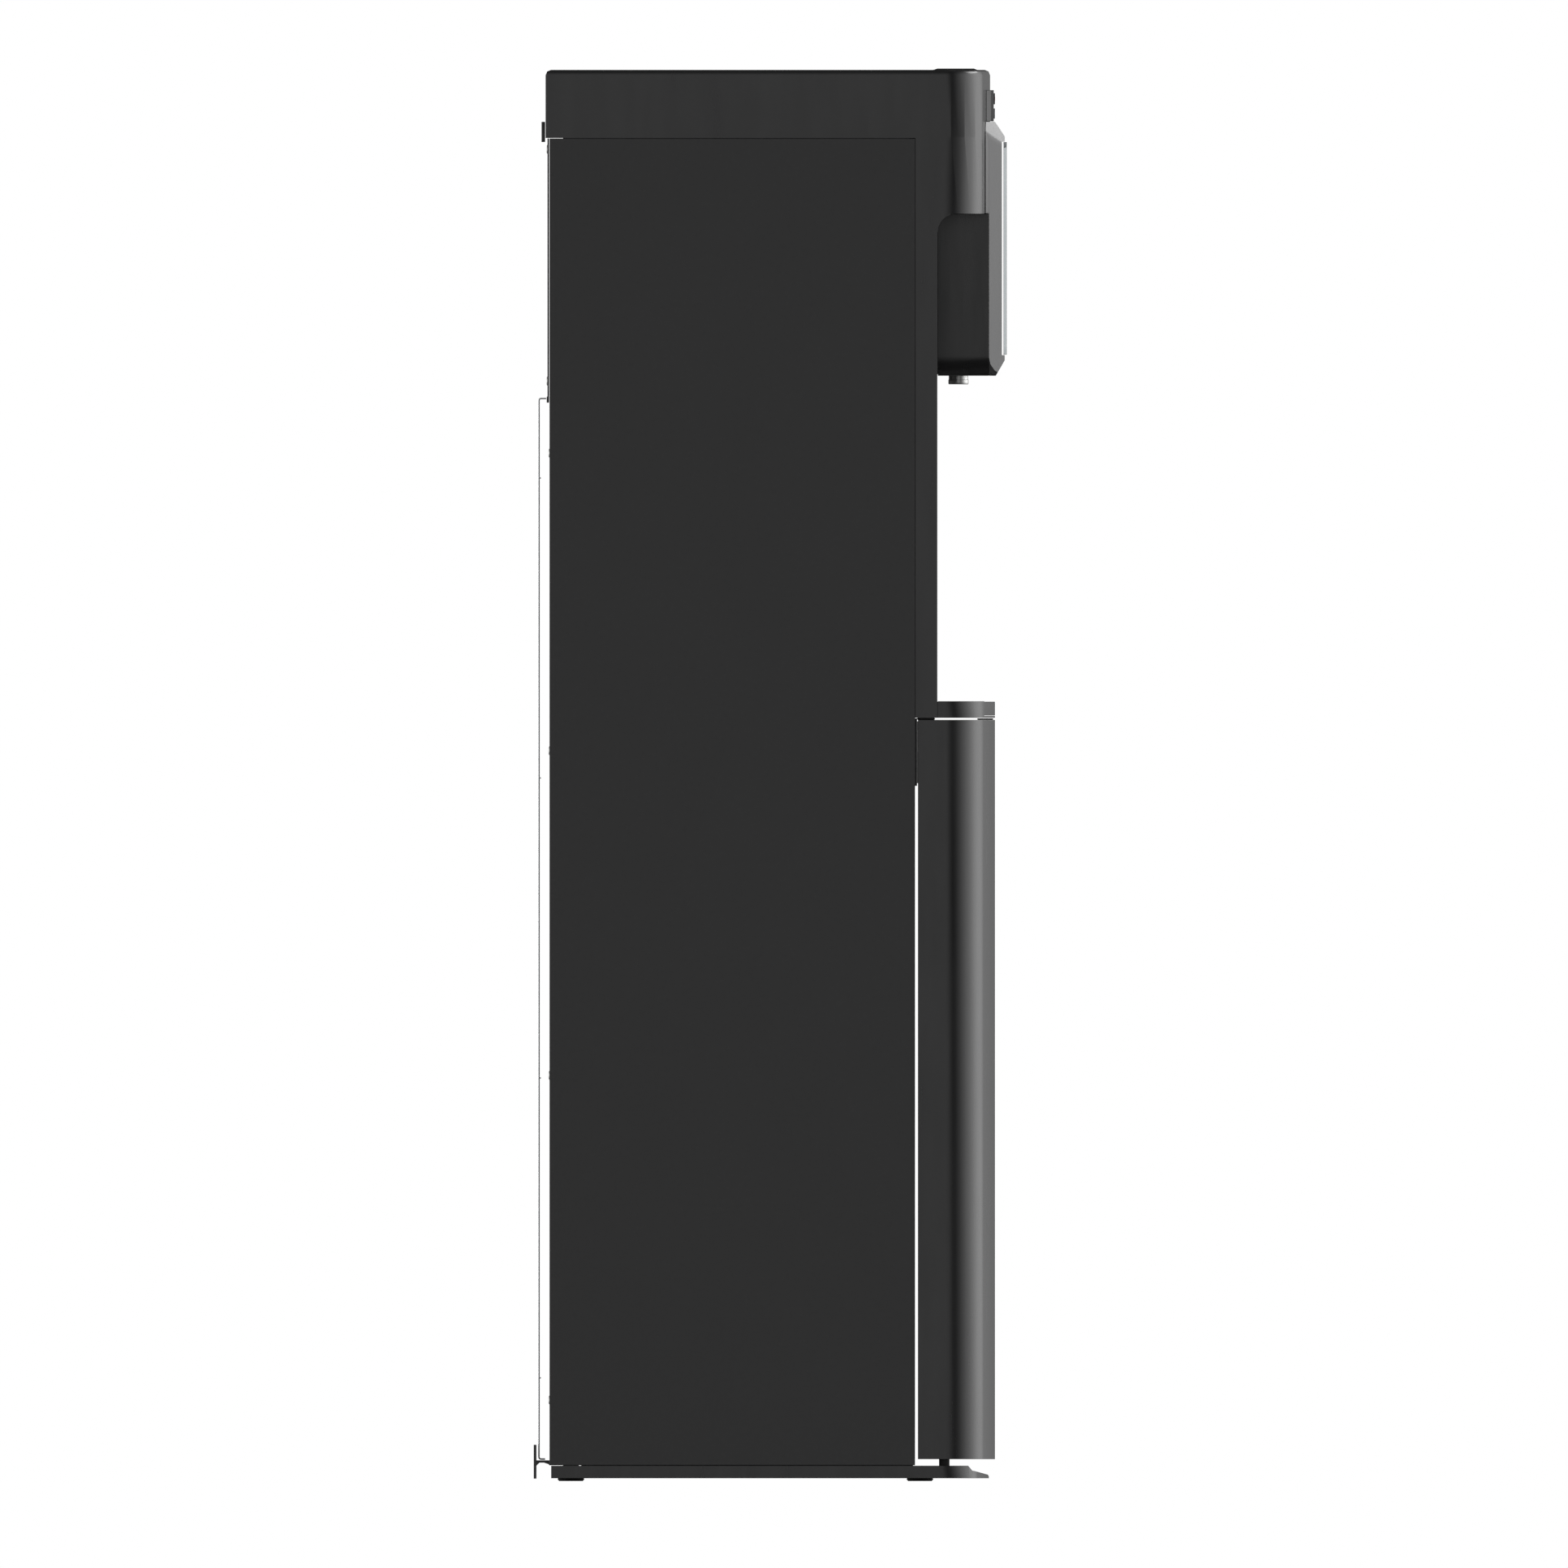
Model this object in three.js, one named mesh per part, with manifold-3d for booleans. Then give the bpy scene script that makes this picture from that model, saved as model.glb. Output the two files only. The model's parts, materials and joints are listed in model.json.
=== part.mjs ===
import * as THREE from 'three';
import { mergeVertices } from 'three/addons/utils/BufferGeometryUtils.js';
import Module from 'manifold-3d';

// Floor-standing bottom-loading water dispenser.
// Millimetres, +Z up, front towards -Y. The origin is on the floor, under the middle of the machine.

const wasm = await Module();
wasm.setup();

// ---------- driving dimensions ----------

// Cabinet in plan
const CABINET_WIDTH = 310;
const REAR_Y = 163.2;
const PANEL_DEPTH = 270.3;
const CORNER_RADIUS = 29;
const DOOR_BOW_RISE = 8.3;
const FASCIA_BOW_RISE = 5.2;
const DOOR_GAP = 2.1;
const DOOR_DEPTH = 57;
const FASCIA_SETBACK = 3.6;
const FRAME_DEPTH = 16.2;
const COVER_OVERHANG = 2.9;

// Heights, stacked from the floor
const FLOOR_CLEARANCE = 2.1;
const BASE_HEIGHT = 9.3;
const DOOR_LIFT = 4.8;
const DOOR_HEIGHT = 546.6;
const TIER_GAP = 1.5;
const TIER_HEIGHT = 12.3;
const ALCOVE_HEIGHT = 240.6;
const SPOUT_BLOCK_HEIGHT = 119.8;
const FASCIA_HEIGHT = 106.4;
const COVER_SKIRT = 50.4;
const CROWN_HEIGHT = 1;

// Walls and clearances
const FIT = 0.3;
const SHEET = 1.2;
const MOULDED_WALL = 3;
const LINER_WALL = 2;
const FRONT_FLANGE = 14;
const REAR_FLANGE = 10;
const TOP_ROUNDING = 4;
const LIP_THICKNESS = 1.5;
const LIP_REACH = 4;

// Base, feet and wall spacers
const BASE_INSET = 0.6;
const BASE_LIP_REACH = 3.9;
const BASE_NOSE_DEPTH = 15.9;
const BASE_NOSE_TOE = { back: 1.3, rise: 2.7 };
const BASE_NOSE_RAMP = { back: 11.3, drop: 3.9 };
const BASE_NOSE_STEP = { back: 3, drop: 3.6 };
const BASE_RIM = 8;
const BASE_NOSE_RIM = 34;
const FOOT_DIAMETER = 19.8;
const FOOT_PAD = 5;
const FOOT_CHAMFER = { width: 1.6, height: 1.2 };
const FOOT_STEM_DIAMETER = 8;
const FOOT_SIDE_INSET = 26;
const FOOT_FRONT_REACH = 3.6;
const FOOT_REAR_INSET = 15.9;
const SPACER_STANDOFF = 11.7;
const SPACER_WIDTH = 30;
const SPACER_THICKNESS = 2.1;
const SPACER_INSET = 45;
const SPACER_ARM_RISE = 3.1;
const SPACER_ARM_THICKNESS = 1.8;
const SPACER_HEIGHT = 25.1;
const SPACER_HAUNCH = 2.2;

// Door and its hinge
const DOOR_WALL = 3;
const HINGE_SIDE_INSET = 8;
const HINGE_SETBACK = 37.5;
const LOWER_PIN_DIAMETER = 7.8;
const UPPER_PIN_DIAMETER = 5.2;
const PIN_CLEARANCE = 0.3;
const PIN_RISE = 8;
const PIN_CHAMFER = 1;
const PIN_HEAD_DEPTH = 1.6;
const PIN_HOLE_DEPTH = 9;
const HINGE_BOSS_HEIGHT = 12;
const ARM_DROP = 17.8;
const ARM_THICKNESS = 4;
const ARM_WIDTH = 5;
const ARM_ROOT = { clearance: 7, width: 6 };
const ARM_PLATE = { width: 28, thickness: 2.2, below: 6, above: 10 };
const LINER_STANDOFF = 14;
const DOOR_LINER_SKIN = 1.5;
const DOOR_LINER_RISE = 12;
const DOOR_LINER_DROP = 8;
const MAGNET_SIDE_INSET = 27;
const MAGNET_WIDTH = 18;
const MAGNET_HEIGHT = 30;
const MAGNET_THICKNESS = 2.2;
const MAGNET_POST_WIDTH = 8;
const RAIL_HEIGHT = 50;
const RAIL_PROUD = 1.5;
const RAIL_DEPTH = 7;
const RAIL_LIP_REACH = 14.7;
const RAIL_LIP_THICKNESS = 0.8;
const RAIL_END_GAP = 10;
const RAIL_TAB_LAP = 5;
const RAIL_LIP_INSET = 15;
const GRIP_HEIGHT = 90;
const GRIP_TOP_DROP = 72;
const GRIP_DEPTH = 16;
const GRIP_WALL = 1.5;
const GRIP_RIM_INSET = 0.2;
const GRIP_REAR_INSET = 8;
const GRIP_FRONT_INSET = 21;

// Bottle bay
const BAY_SIDE_GAP = 5;
const BAY_REAR_GAP = 6;
const BAY_CEILING_DROP = 4;
const BOTTLE_DIAMETER = 270;
const BOTTLE_REAR_GAP = 1;
const BOTTLE_RECESS_DEPTH = 3;
const BOTTLE_CLEARANCE = 2;
const BAY_FLOOR_THICKNESS = 7;
const COLLAR_GAP = 4;
const PROBE_TIP_GAP = 35.6;
const PROBE_DIAMETER = 12;
const COLLAR_DIAMETER = 56;
const COLLAR_HEIGHT = 30;
const COLLAR_EDGE = 2;
const COLLAR_SHOULDER = 8;
const PROBE_TIP_TAPER = { width: 2, height: 6 };
const HOSE_TAIL = 40;
const HOSE_DIAMETER = 8;
const HOSE_HOLE_MARGIN = 1.5;
const HANGER_DROP = 76;
const HANGER_THICKNESS = 6;

// Dispensing head
const HEAD_WIDTH = 216;
const SPOUT_CORNER = 15;
const SHIELD_CORNER = 14;
const SHIELD_LAP = 10;
const SHIELD_TOE = { back: 6.6, rise: 11.4 };
const SHIELD_BROW = 4.2;
const SHOULDER_NORMAL = { outward: 0.6, forward: 0.76, upward: 0.27 };
const SHIELD_SIDE_INSET = 3;
const GLASS_SIDE_INSET = 1.4;
const SHOULDER_DROP = 13;
const SHIELD_FRONT_REACH = 10.8;
const SPOUT_SETBACK = 1.2;
const GLASS_PROUD = 1.5;
const GLASS_THICKNESS = 2.4;
const GLASS_GAP = 1.2;
const GLASS_BOTTOM_RISE = 15.6;
const GLASS_TOP_DROP = 53.4;
const GLASS_CORNER = 6;
const NOZZLE_PITCH = 50;
const NOZZLE_DIAMETER = 15;
const NOZZLE_BORE = 9;
const NOZZLE_DROP = 6.3;
const NOZZLE_SETBACK = 22.2;
const NOZZLE_FLANGE_REACH = 3;
const NOZZLE_FLANGE_THICKNESS = 2;
const NOZZLE_TAIL = 14;
const NOZZLE_SIDES = 16;
const SPOUT_WALL = 2.5;
const NIGHT_LIGHT = { halfWidth: 20, front: 4, depth: 6, thickness: 3 };
const BUTTON_GAP = 10;
const BUTTON_WIDTH = 34;
const LOCK_WIDTH = 20;
const BUTTON_HEIGHT = 8.2;
const BUTTON_PROUD = 0.9;
const BUTTON_CLEARANCE = 0.5;
const BUTTON_FOOT_REACH = 1.5;
const BUTTON_FOOT_THICKNESS = 1.4;
const INDICATOR_HEIGHT = 7.6;
const INDICATOR_END_INSET = 18;
const BEZEL_SIDE_MARGIN = 16;
const BEZEL_TOP_MARGIN = 2.3;
const BEZEL_MIDDLE = 3;
const BEZEL_BOTTOM_MARGIN = 2;
const BEZEL_TOP_DROP = 15;
const PLUG_DEPTH = 7.6;
const BOARD = { standoff: 7, thickness: 1.6, sideInset: 6, below: 2, above: 4 };
const SWITCH_CAN = { half: 3, height: 2.6 };
const WINDOW_MARGIN = 1.8;
const COVE = 14;
const COVE_STEP = 2;
const CROWN_REAR_SLOPE = 6;
const CROWN_FRONT = { inset: 12, slope: 5, side: 2 };
const FRAME_SIDE = 16;
const SPLASH_THICKNESS = 3;

// Drip tray
const TRAY_WIDTH = 248;
const TRAY_FLOOR = 1.5;
const TRAY_WALL = 1.5;
const TRAY_REAR_GAP = 0.6;
const GRILLE_GAP = 0.8;
const TRAY_RIB = { halfWidth: 1, frontInset: 5 };
const GRILLE_THICKNESS = 2.7;
const GRILLE_SLOTS = 16;
const SLOT_WIDTH = 5;
const GRILLE_SIDE_MARGIN = 6;
const GRILLE_FRONT_MARGIN = 14;

// Rear of the machine
const RECESS_DEPTH = 22;
const BACK_UPPER_RISE = 233;
const GUARD_STANDOFF = 7.2;
const WIRE = 1.2;
const GUARD_SIDE_INSET = 30;
const GUARD_WIRES = 16;
const GUARD_RUNGS = 4;
const CONDENSER_PASSES = 16;
const CONDENSER_TUBE = 4.8;
const CONDENSER_SIDE_INSET = 35;
const CONDENSER_STANDOFF = 6;
const CONDENSER_RISE = 40;
const CONDENSER_DROP = 30;
const GUARD_FOOT_REACH = 4;
const GUARD_END_MARGIN = 60;
const WELD_OVERLAP = 0.2;
const ROCKER_PITCH = 30;
const ROCKER_WIDTH = 18;
const ROCKER_HEIGHT = 26;
const ROCKER_GAP = 0.5;
const ROCKER_SETBACK = 6;
const ROCKER_FACE = { tip: 5.5, middle: 3.6, tipInset: 1.2 };
const ROCKER_BACK = { radius: 9, centre: 5.2, shoulder: 1.2, shoulderInset: 0.6 };
const SWITCH_SIDE_INSET = 70;
const SWITCH_RISE = 60;
const SWITCH_PLATE_THICKNESS = 2.5;
const SWITCH_PLATE_SIDE = 2;
const SWITCH_PLATE_END = 6;
const SWITCH_PLATE_LAP = 3;
const SERVICE_SIDE_INSET = 45;
const SERVICE_RISE = 64;
const INLET_DIAMETER = 18;
const INLET = { bore: 7, back: 7, nutReach: 3, nutTop: 10, length: 20, taper: 2 };
const DRAIN_PIPE_DIAMETER = 16;
const DRAIN_BORE = 8;
const DRAIN_REACH = 8.8;
const CAP = { clearance: 0.4, wall: 4, chamfer: 2, height: 14, depth: 11 };
const LOUVRES = 6;
const LOUVRE_RISE = 30;
const LOUVRE_PITCH = 18;
const LOUVRE_WIDTH = 180;
const LOUVRE_HEIGHT = 8;
const REAR_GRIP = { width: 120, thickness: 2.7, below: 3, above: 12 };
const HEM_PROUD = 0.6;
const HEM_HEIGHT = 4;

// Water system
const TANK_SHELF_RISE = 174;
const COLD_TANK_DIAMETER = 130;
const COLD_TANK_HEIGHT = 200;
const FOAM_WALL = 20;
const TANK_WALL = 1.5;
const TANK_FOOT_ROUND = 8;
const TANK_SHOULDER = { reach: 12, height: 10 };
const TANK_NECK = { radius: 9, bore: 3, height: 14, rise: 2 };
const HOT_TANK_DIAMETER = 88;
const HOT_TANK_HEIGHT = 170;
const HOT_TANK_SIDE_GAP = 8;
const COMPRESSOR_DIAMETER = 128;
const COMPRESSOR_HEIGHT = 140;
const COMPRESSOR_FEET = { clearance: 8, radius: 8, inset: 4, spread: 35 };
const COMPRESSOR_PLATE = { reach: 6, halfDepth: 45, below: 2, above: 1.5 };
const COMPRESSOR_SIDE_GAP = 29;
const COMPRESSOR_REAR_GAP = 14;
const TANK_SIDE_GAP = 6.8;
const HOT_TANK_SET_BACK = 30;
const PUMP_FROM_HOSE = 50;
const PUMP_SETBACK = 24.8;
const PUMP_MOTOR = { radius: 20, length: 62, headRadius: 16, headEnd: 92, taper: 4, axisRise: 26 };
const PUMP_PLATE = { halfWidth: 24, front: 5, rear: 80, thickness: 3 };
const PUMP_SADDLE = { halfWidth: 10, front: 15, rear: 65, height: 12 };
const SHELF_EDGE = 12;
const TERMINAL_BOX = { reach: 22, halfWidth: 20, rise: 36, height: 44 };
const VALVE_RISE = 46;
const VALVE_BAR = { reach: 18, halfDepth: 9, height: 12 };
const VALVE_COIL = { radius: 11, height: 44 };
const VALVE_SPIGOT_RADIUS = 5;

// ---------- levels worked out from the driving dimensions ----------

const HALF = CABINET_WIDTH / 2;
const PANEL_FRONT_Y = REAR_Y - PANEL_DEPTH;
const DOOR_REAR_Y = PANEL_FRONT_Y - DOOR_GAP;
const DOOR_FRONT_Y = DOOR_REAR_Y - DOOR_DEPTH;
const FASCIA_FRONT_Y = DOOR_FRONT_Y + FASCIA_SETBACK;
const FRAME_REAR_Y = PANEL_FRONT_Y - FIT;
const ALCOVE_Y = FRAME_REAR_Y - FRAME_DEPTH;
const RAIL_FRONT_Y = PANEL_FRONT_Y - RAIL_PROUD;
const COVER_REAR_Y = REAR_Y + COVER_OVERHANG;
const RECESS_Y = REAR_Y - RECESS_DEPTH;
const FOOT_FRONT_Y = PANEL_FRONT_Y - FOOT_FRONT_REACH;
const FOOT_REAR_Y = REAR_Y - FOOT_REAR_INSET;
const BAY_REAR_Y = RECESS_Y - SHEET - BAY_REAR_GAP;
const BOTTLE_Y = BAY_REAR_Y - LINER_WALL - BOTTLE_REAR_GAP - BOTTLE_DIAMETER / 2;
const SHELF_FRONT_Y = PANEL_FRONT_Y + RAIL_DEPTH + FIT;
const SHELF_REAR_Y = RECESS_Y - SHEET - FIT;
const SPOUT_FRONT_Y = FASCIA_FRONT_Y + SPOUT_SETBACK;
const NOZZLE_Y = SPOUT_FRONT_Y + NOZZLE_SETBACK;
const SHIELD_FRONT_Y = FASCIA_FRONT_Y - SHIELD_FRONT_REACH;
const GLASS_FRONT_Y = SHIELD_FRONT_Y - GLASS_PROUD;
const GLASS_REAR_Y = GLASS_FRONT_Y + GLASS_THICKNESS;
const SHIELD_FACE_Y = GLASS_REAR_Y + GLASS_GAP;

const BASE_TOP = FLOOR_CLEARANCE + BASE_HEIGHT;
const DOOR_BOTTOM = BASE_TOP + DOOR_LIFT;
const DOOR_TOP = DOOR_BOTTOM + DOOR_HEIGHT;
const TIER_BOTTOM = DOOR_TOP + TIER_GAP;
const TIER_TOP = TIER_BOTTOM + TIER_HEIGHT;
const SPOUT_BOTTOM = TIER_TOP + ALCOVE_HEIGHT;
const FASCIA_BOTTOM = SPOUT_BOTTOM + SPOUT_BLOCK_HEIGHT;
const TOP = FASCIA_BOTTOM + FASCIA_HEIGHT;
const SEAM = TOP - COVER_SKIRT;
const RAIL_TOP = TIER_BOTTOM - FIT;
const RAIL_BOTTOM = RAIL_TOP - RAIL_HEIGHT;
const BAY_CEILING = RAIL_BOTTOM - BAY_CEILING_DROP;
const SHELF_Z = RAIL_BOTTOM;
const TANK_SHELF_Z = SHELF_Z + TANK_SHELF_RISE;
const BACK_SPLIT = TIER_BOTTOM + BACK_UPPER_RISE;
const BEZEL_TOP = TOP - BEZEL_TOP_DROP;
const BUTTON_ROW_Z = BEZEL_TOP - BEZEL_TOP_MARGIN - BUTTON_HEIGHT / 2;
const INDICATOR_ROW_Z = BUTTON_ROW_Z - BUTTON_HEIGHT / 2 - BEZEL_MIDDLE - INDICATOR_HEIGHT / 2;
const BEZEL_BOTTOM = INDICATOR_ROW_Z - INDICATOR_HEIGHT / 2 - BEZEL_BOTTOM_MARGIN;
const BUTTON_ROW_WIDTH = 3 * BUTTON_WIDTH + LOCK_WIDTH + 3 * BUTTON_GAP;
const BEZEL_WIDTH = BUTTON_ROW_WIDTH + 2 * BEZEL_SIDE_MARGIN;
const INDICATOR_HALF_WIDTH = BEZEL_WIDTH / 2 - INDICATOR_END_INSET;
const BUTTON_FRONT_Y = FASCIA_FRONT_Y - FASCIA_SETBACK;
const SHIELD_WIDTH = HEAD_WIDTH - 2 * SHIELD_SIDE_INSET;

const HINGE_X = -HALF + HINGE_SIDE_INSET;
const HINGE_Y = DOOR_FRONT_Y + HINGE_SETBACK;
const DOOR_SWEEP = Math.hypot(HINGE_SIDE_INSET, DOOR_REAR_Y - HINGE_Y) + 1;
const PROBE_X = -HALF + BAY_SIDE_GAP + LINER_WALL + COLLAR_GAP + COLLAR_DIAMETER / 2;
const PROBE_Y = BAY_REAR_Y - LINER_WALL - COLLAR_GAP - COLLAR_DIAMETER / 2;
const HANGER_Z = BAY_CEILING - HANGER_DROP;
const PROBE_TIP_Z = BASE_TOP + FIT + BAY_FLOOR_THICKNESS + PROBE_TIP_GAP;
const SWITCH_X = HALF - SWITCH_SIDE_INSET;
const SWITCH_Z = BACK_SPLIT + SWITCH_RISE;
const SWITCH_PLATE_HALF_WIDTH = 1.5 * ROCKER_PITCH + SWITCH_PLATE_SIDE;
const SWITCH_PLATE_HALF_HEIGHT = ROCKER_HEIGHT / 2 + SWITCH_PLATE_END;
const SERVICE_X = HALF - SERVICE_SIDE_INSET;
const SERVICE_Z = BASE_TOP + SERVICE_RISE;
const COMPRESSOR_X = HALF - COMPRESSOR_SIDE_GAP - COMPRESSOR_DIAMETER / 2;
const COMPRESSOR_Y = RECESS_Y - SHEET - COMPRESSOR_REAR_GAP - COMPRESSOR_DIAMETER / 2;
const FOAM_REACH = COLD_TANK_DIAMETER / 2 + FOAM_WALL;
const COLD_X = HALF - SHEET - TANK_SIDE_GAP - FOAM_REACH;
const COLD_Y = (SHELF_FRONT_Y + SHELF_REAR_Y) / 2;
const SPACER_ARM_Z = BASE_TOP + SPACER_ARM_RISE;
const FRAME_WINDOW_TOP = FASCIA_BOTTOM - COVE - COVE_STEP;
const GRIP_REAR_Y = DOOR_REAR_Y - GRIP_REAR_INSET;
const GRIP_FRONT_Y = DOOR_FRONT_Y + GRIP_FRONT_INSET;
const GRIP_TOP = DOOR_TOP - GRIP_TOP_DROP;
const GRIP_BOTTOM = GRIP_TOP - GRIP_HEIGHT;
const MAGNET_X = HALF - MAGNET_SIDE_INSET;
const MAGNET_FRONT_Y = RAIL_FRONT_Y - FIT - MAGNET_THICKNESS;
const MAGNET_Z = RAIL_BOTTOM + RAIL_HEIGHT / 2;
const ARM_Z = DOOR_TOP - ARM_DROP;

// ---------- geometry helpers ----------
// Cutters run about a millimetre past the faces they open.

/** Welds a geometry, drops collapsed triangles and turns its faces outwards. */
function weld(geometry) {
  const bare = geometry.clone();
  bare.deleteAttribute('normal');
  bare.deleteAttribute('uv');
  const merged = mergeVertices(bare, 1e-4);
  const kept = [];
  for (let i = 0; i < merged.index.count; i += 3) {
    const [a, b, c] = [0, 1, 2].map((k) => merged.index.getX(i + k));
    if (a !== b && b !== c && c !== a) kept.push(a, b, c);
  }
  const corner = (k) => new THREE.Vector3().fromBufferAttribute(merged.attributes.position, k);
  let volume = 0;
  for (let i = 0; i < kept.length; i += 3) {
    const [a, b, c] = [corner(kept[i]), corner(kept[i + 1]), corner(kept[i + 2])];
    volume += a.dot(b.cross(c)) / 6;
  }
  merged.setIndex(volume < 0 ? kept.reverse() : kept);
  return merged;
}

function toSolid(geometry) {
  const welded = weld(geometry);
  return new wasm.Manifold(new wasm.Mesh({
    numProp: 3,
    vertProperties: new Float32Array(welded.attributes.position.array),
    triVerts: new Uint32Array(welded.index.array),
  }));
}

function toGeometry(manifold) {
  const mesh = manifold.getMesh();
  const geometry = new THREE.BufferGeometry();
  geometry.setAttribute('position', new THREE.BufferAttribute(mesh.vertProperties, mesh.numProp));
  geometry.setIndex(new THREE.BufferAttribute(mesh.triVerts, 1));
  geometry.computeVertexNormals();
  return geometry;
}

const join = (first, ...others) => toGeometry(
  others.reduce((solid, other) => solid.add(toSolid(other)), toSolid(first)));
const cut = (first, ...tools) => toGeometry(
  tools.reduce((solid, tool) => solid.subtract(toSolid(tool)), toSolid(first)));
const common = (first, ...others) => toGeometry(
  others.reduce((solid, other) => solid.intersect(toSolid(other)), toSolid(first)));

const shapeOf = (points) => new THREE.Shape(points.map(([u, v]) => new THREE.Vector2(u, v)));

/** Points on an arc, both ends included. */
function arc(u, v, radius, from, to, steps) {
  return Array.from({ length: steps + 1 }, (_, i) => {
    const angle = from + ((to - from) * i) / steps;
    return [u + radius * Math.cos(angle), v + radius * Math.sin(angle)];
  });
}

const block = (x0, x1, y0, y1, z0, z1) => new THREE.BoxGeometry(x1 - x0, y1 - y0, z1 - z0)
  .translate((x0 + x1) / 2, (y0 + y1) / 2, (z0 + z1) / 2);

/** A plan outline (x, y) raised from z0 to z1. */
const upright = (points, z0, z1) => new THREE.ExtrudeGeometry(
  shapeOf(points), { depth: z1 - z0, bevelEnabled: false }).translate(0, 0, z0);

/** A side profile (y, z) carried across from x0 to x1. */
function across(points, x0, x1) {
  const axes = new THREE.Matrix4().makeBasis(
    new THREE.Vector3(0, 1, 0), new THREE.Vector3(0, 0, 1), new THREE.Vector3(1, 0, 0));
  return new THREE.ExtrudeGeometry(shapeOf(points), { depth: x1 - x0, bevelEnabled: false })
    .applyMatrix4(axes).translate(x0, 0, 0);
}

/** A front outline (x, z) carried back from y0 to y1. */
function deep(points, y0, y1) {
  const axes = new THREE.Matrix4().makeBasis(
    new THREE.Vector3(1, 0, 0), new THREE.Vector3(0, 0, 1), new THREE.Vector3(0, -1, 0));
  return new THREE.ExtrudeGeometry(shapeOf(points), { depth: y1 - y0, bevelEnabled: false })
    .applyMatrix4(axes).translate(0, y1, 0);
}

/** A profile (radius, height) turned about the Z axis. */
const turned = (profile, sides = 16) => new THREE.LatheGeometry(
  profile.map(([r, z]) => new THREE.Vector2(r, z)), sides).rotateX(Math.PI / 2);

/** A plain cylinder from z0 to z1 about an upright axis at (x, y). */
const cylinder = (x, y, radius, z0, z1, sides = 16) => turned(
  [[0, z0], [radius, z0], [radius, z1], [0, z1]], sides).translate(x, y, 0);

/** Cabinet plan with round front corners and a front that bows out by rise, grown except at the back. */
function plan(rearY, frontY, rise, grow = 0) {
  const half = HALF + grow;
  const radius = CORNER_RADIUS + grow;
  const cornerX = HALF - CORNER_RADIUS;
  const cornerY = frontY + CORNER_RADIUS + rise;
  const reach = (cornerX ** 2 + rise ** 2) / (2 * rise);
  const bowRadius = reach + radius;
  const bowY = cornerY + reach - rise;
  const sweep = Math.asin(cornerX / reach);
  const front = 1.5 * Math.PI;
  return [
    [-half, rearY],
    ...arc(-cornerX, cornerY, radius, Math.PI, front - sweep, 8),
    ...arc(0, bowY, bowRadius, front - sweep, front + sweep, 8).slice(1, -1),
    ...arc(cornerX, cornerY, radius, front + sweep, 2 * Math.PI, 8),
    [half, rearY],
  ];
}

/** A rectangle (u, v) with round corners. */
function rounded(u0, u1, v0, v1, radius, steps = 3) {
  const quarter = Math.PI / 2;
  return [
    ...arc(u1 - radius, v1 - radius, radius, 0, quarter, steps),
    ...arc(u0 + radius, v1 - radius, radius, quarter, 2 * quarter, steps),
    ...arc(u0 + radius, v0 + radius, radius, 2 * quarter, 3 * quarter, steps),
    ...arc(u1 - radius, v0 + radius, radius, 3 * quarter, 4 * quarter, steps),
  ];
}

// ---------- finishes ----------

const finish = (colour, roughness, metalness = 0) => new THREE.MeshStandardMaterial(
  { color: colour, roughness, metalness });

const CHARCOAL = finish(0x2f2f30, 0.5);
const CHARCOAL_STEEL = finish(0x2d2d2e, 0.45, 0.1);
const BLACK_PLASTIC = finish(0x151516, 0.6);
const GLOSS_BLACK = finish(0x0c0c0e, 0.15);
const CLEAR_GLASS = finish(0xb8bec4, 0.05);
const LIGHT_TRIM = finish(0xd8dadc, 0.35);
const STAINLESS = finish(0xb9bcc0, 0.3, 1);
const GALVANISED = finish(0xc9cccf, 0.45, 0.8);
const RUBBER = finish(0x1b1b1c, 0.85);
const WHITE_FOAM = finish(0xe9e6dc, 0.9);
const LINER_GREY = finish(0x5a5c5f, 0.6);
const BUTTON_GREY = finish(0x3a3b3d, 0.35);
const HOT_RED = finish(0xb3261e, 0.4);
const COLD_BLUE = finish(0x2159a6, 0.4);
const BOARD_GREEN = finish(0x1f5a35, 0.5);
const SILICONE = finish(0xd9d9d2, 0.55);

const dispenser = new THREE.Group();

function add(group, name, geometry, material, position = [0, 0, 0]) {
  const mesh = new THREE.Mesh(geometry, material);
  mesh.name = name;
  mesh.position.set(...position);
  group.add(mesh);
  return mesh;
}

// ---------- base ----------

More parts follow.
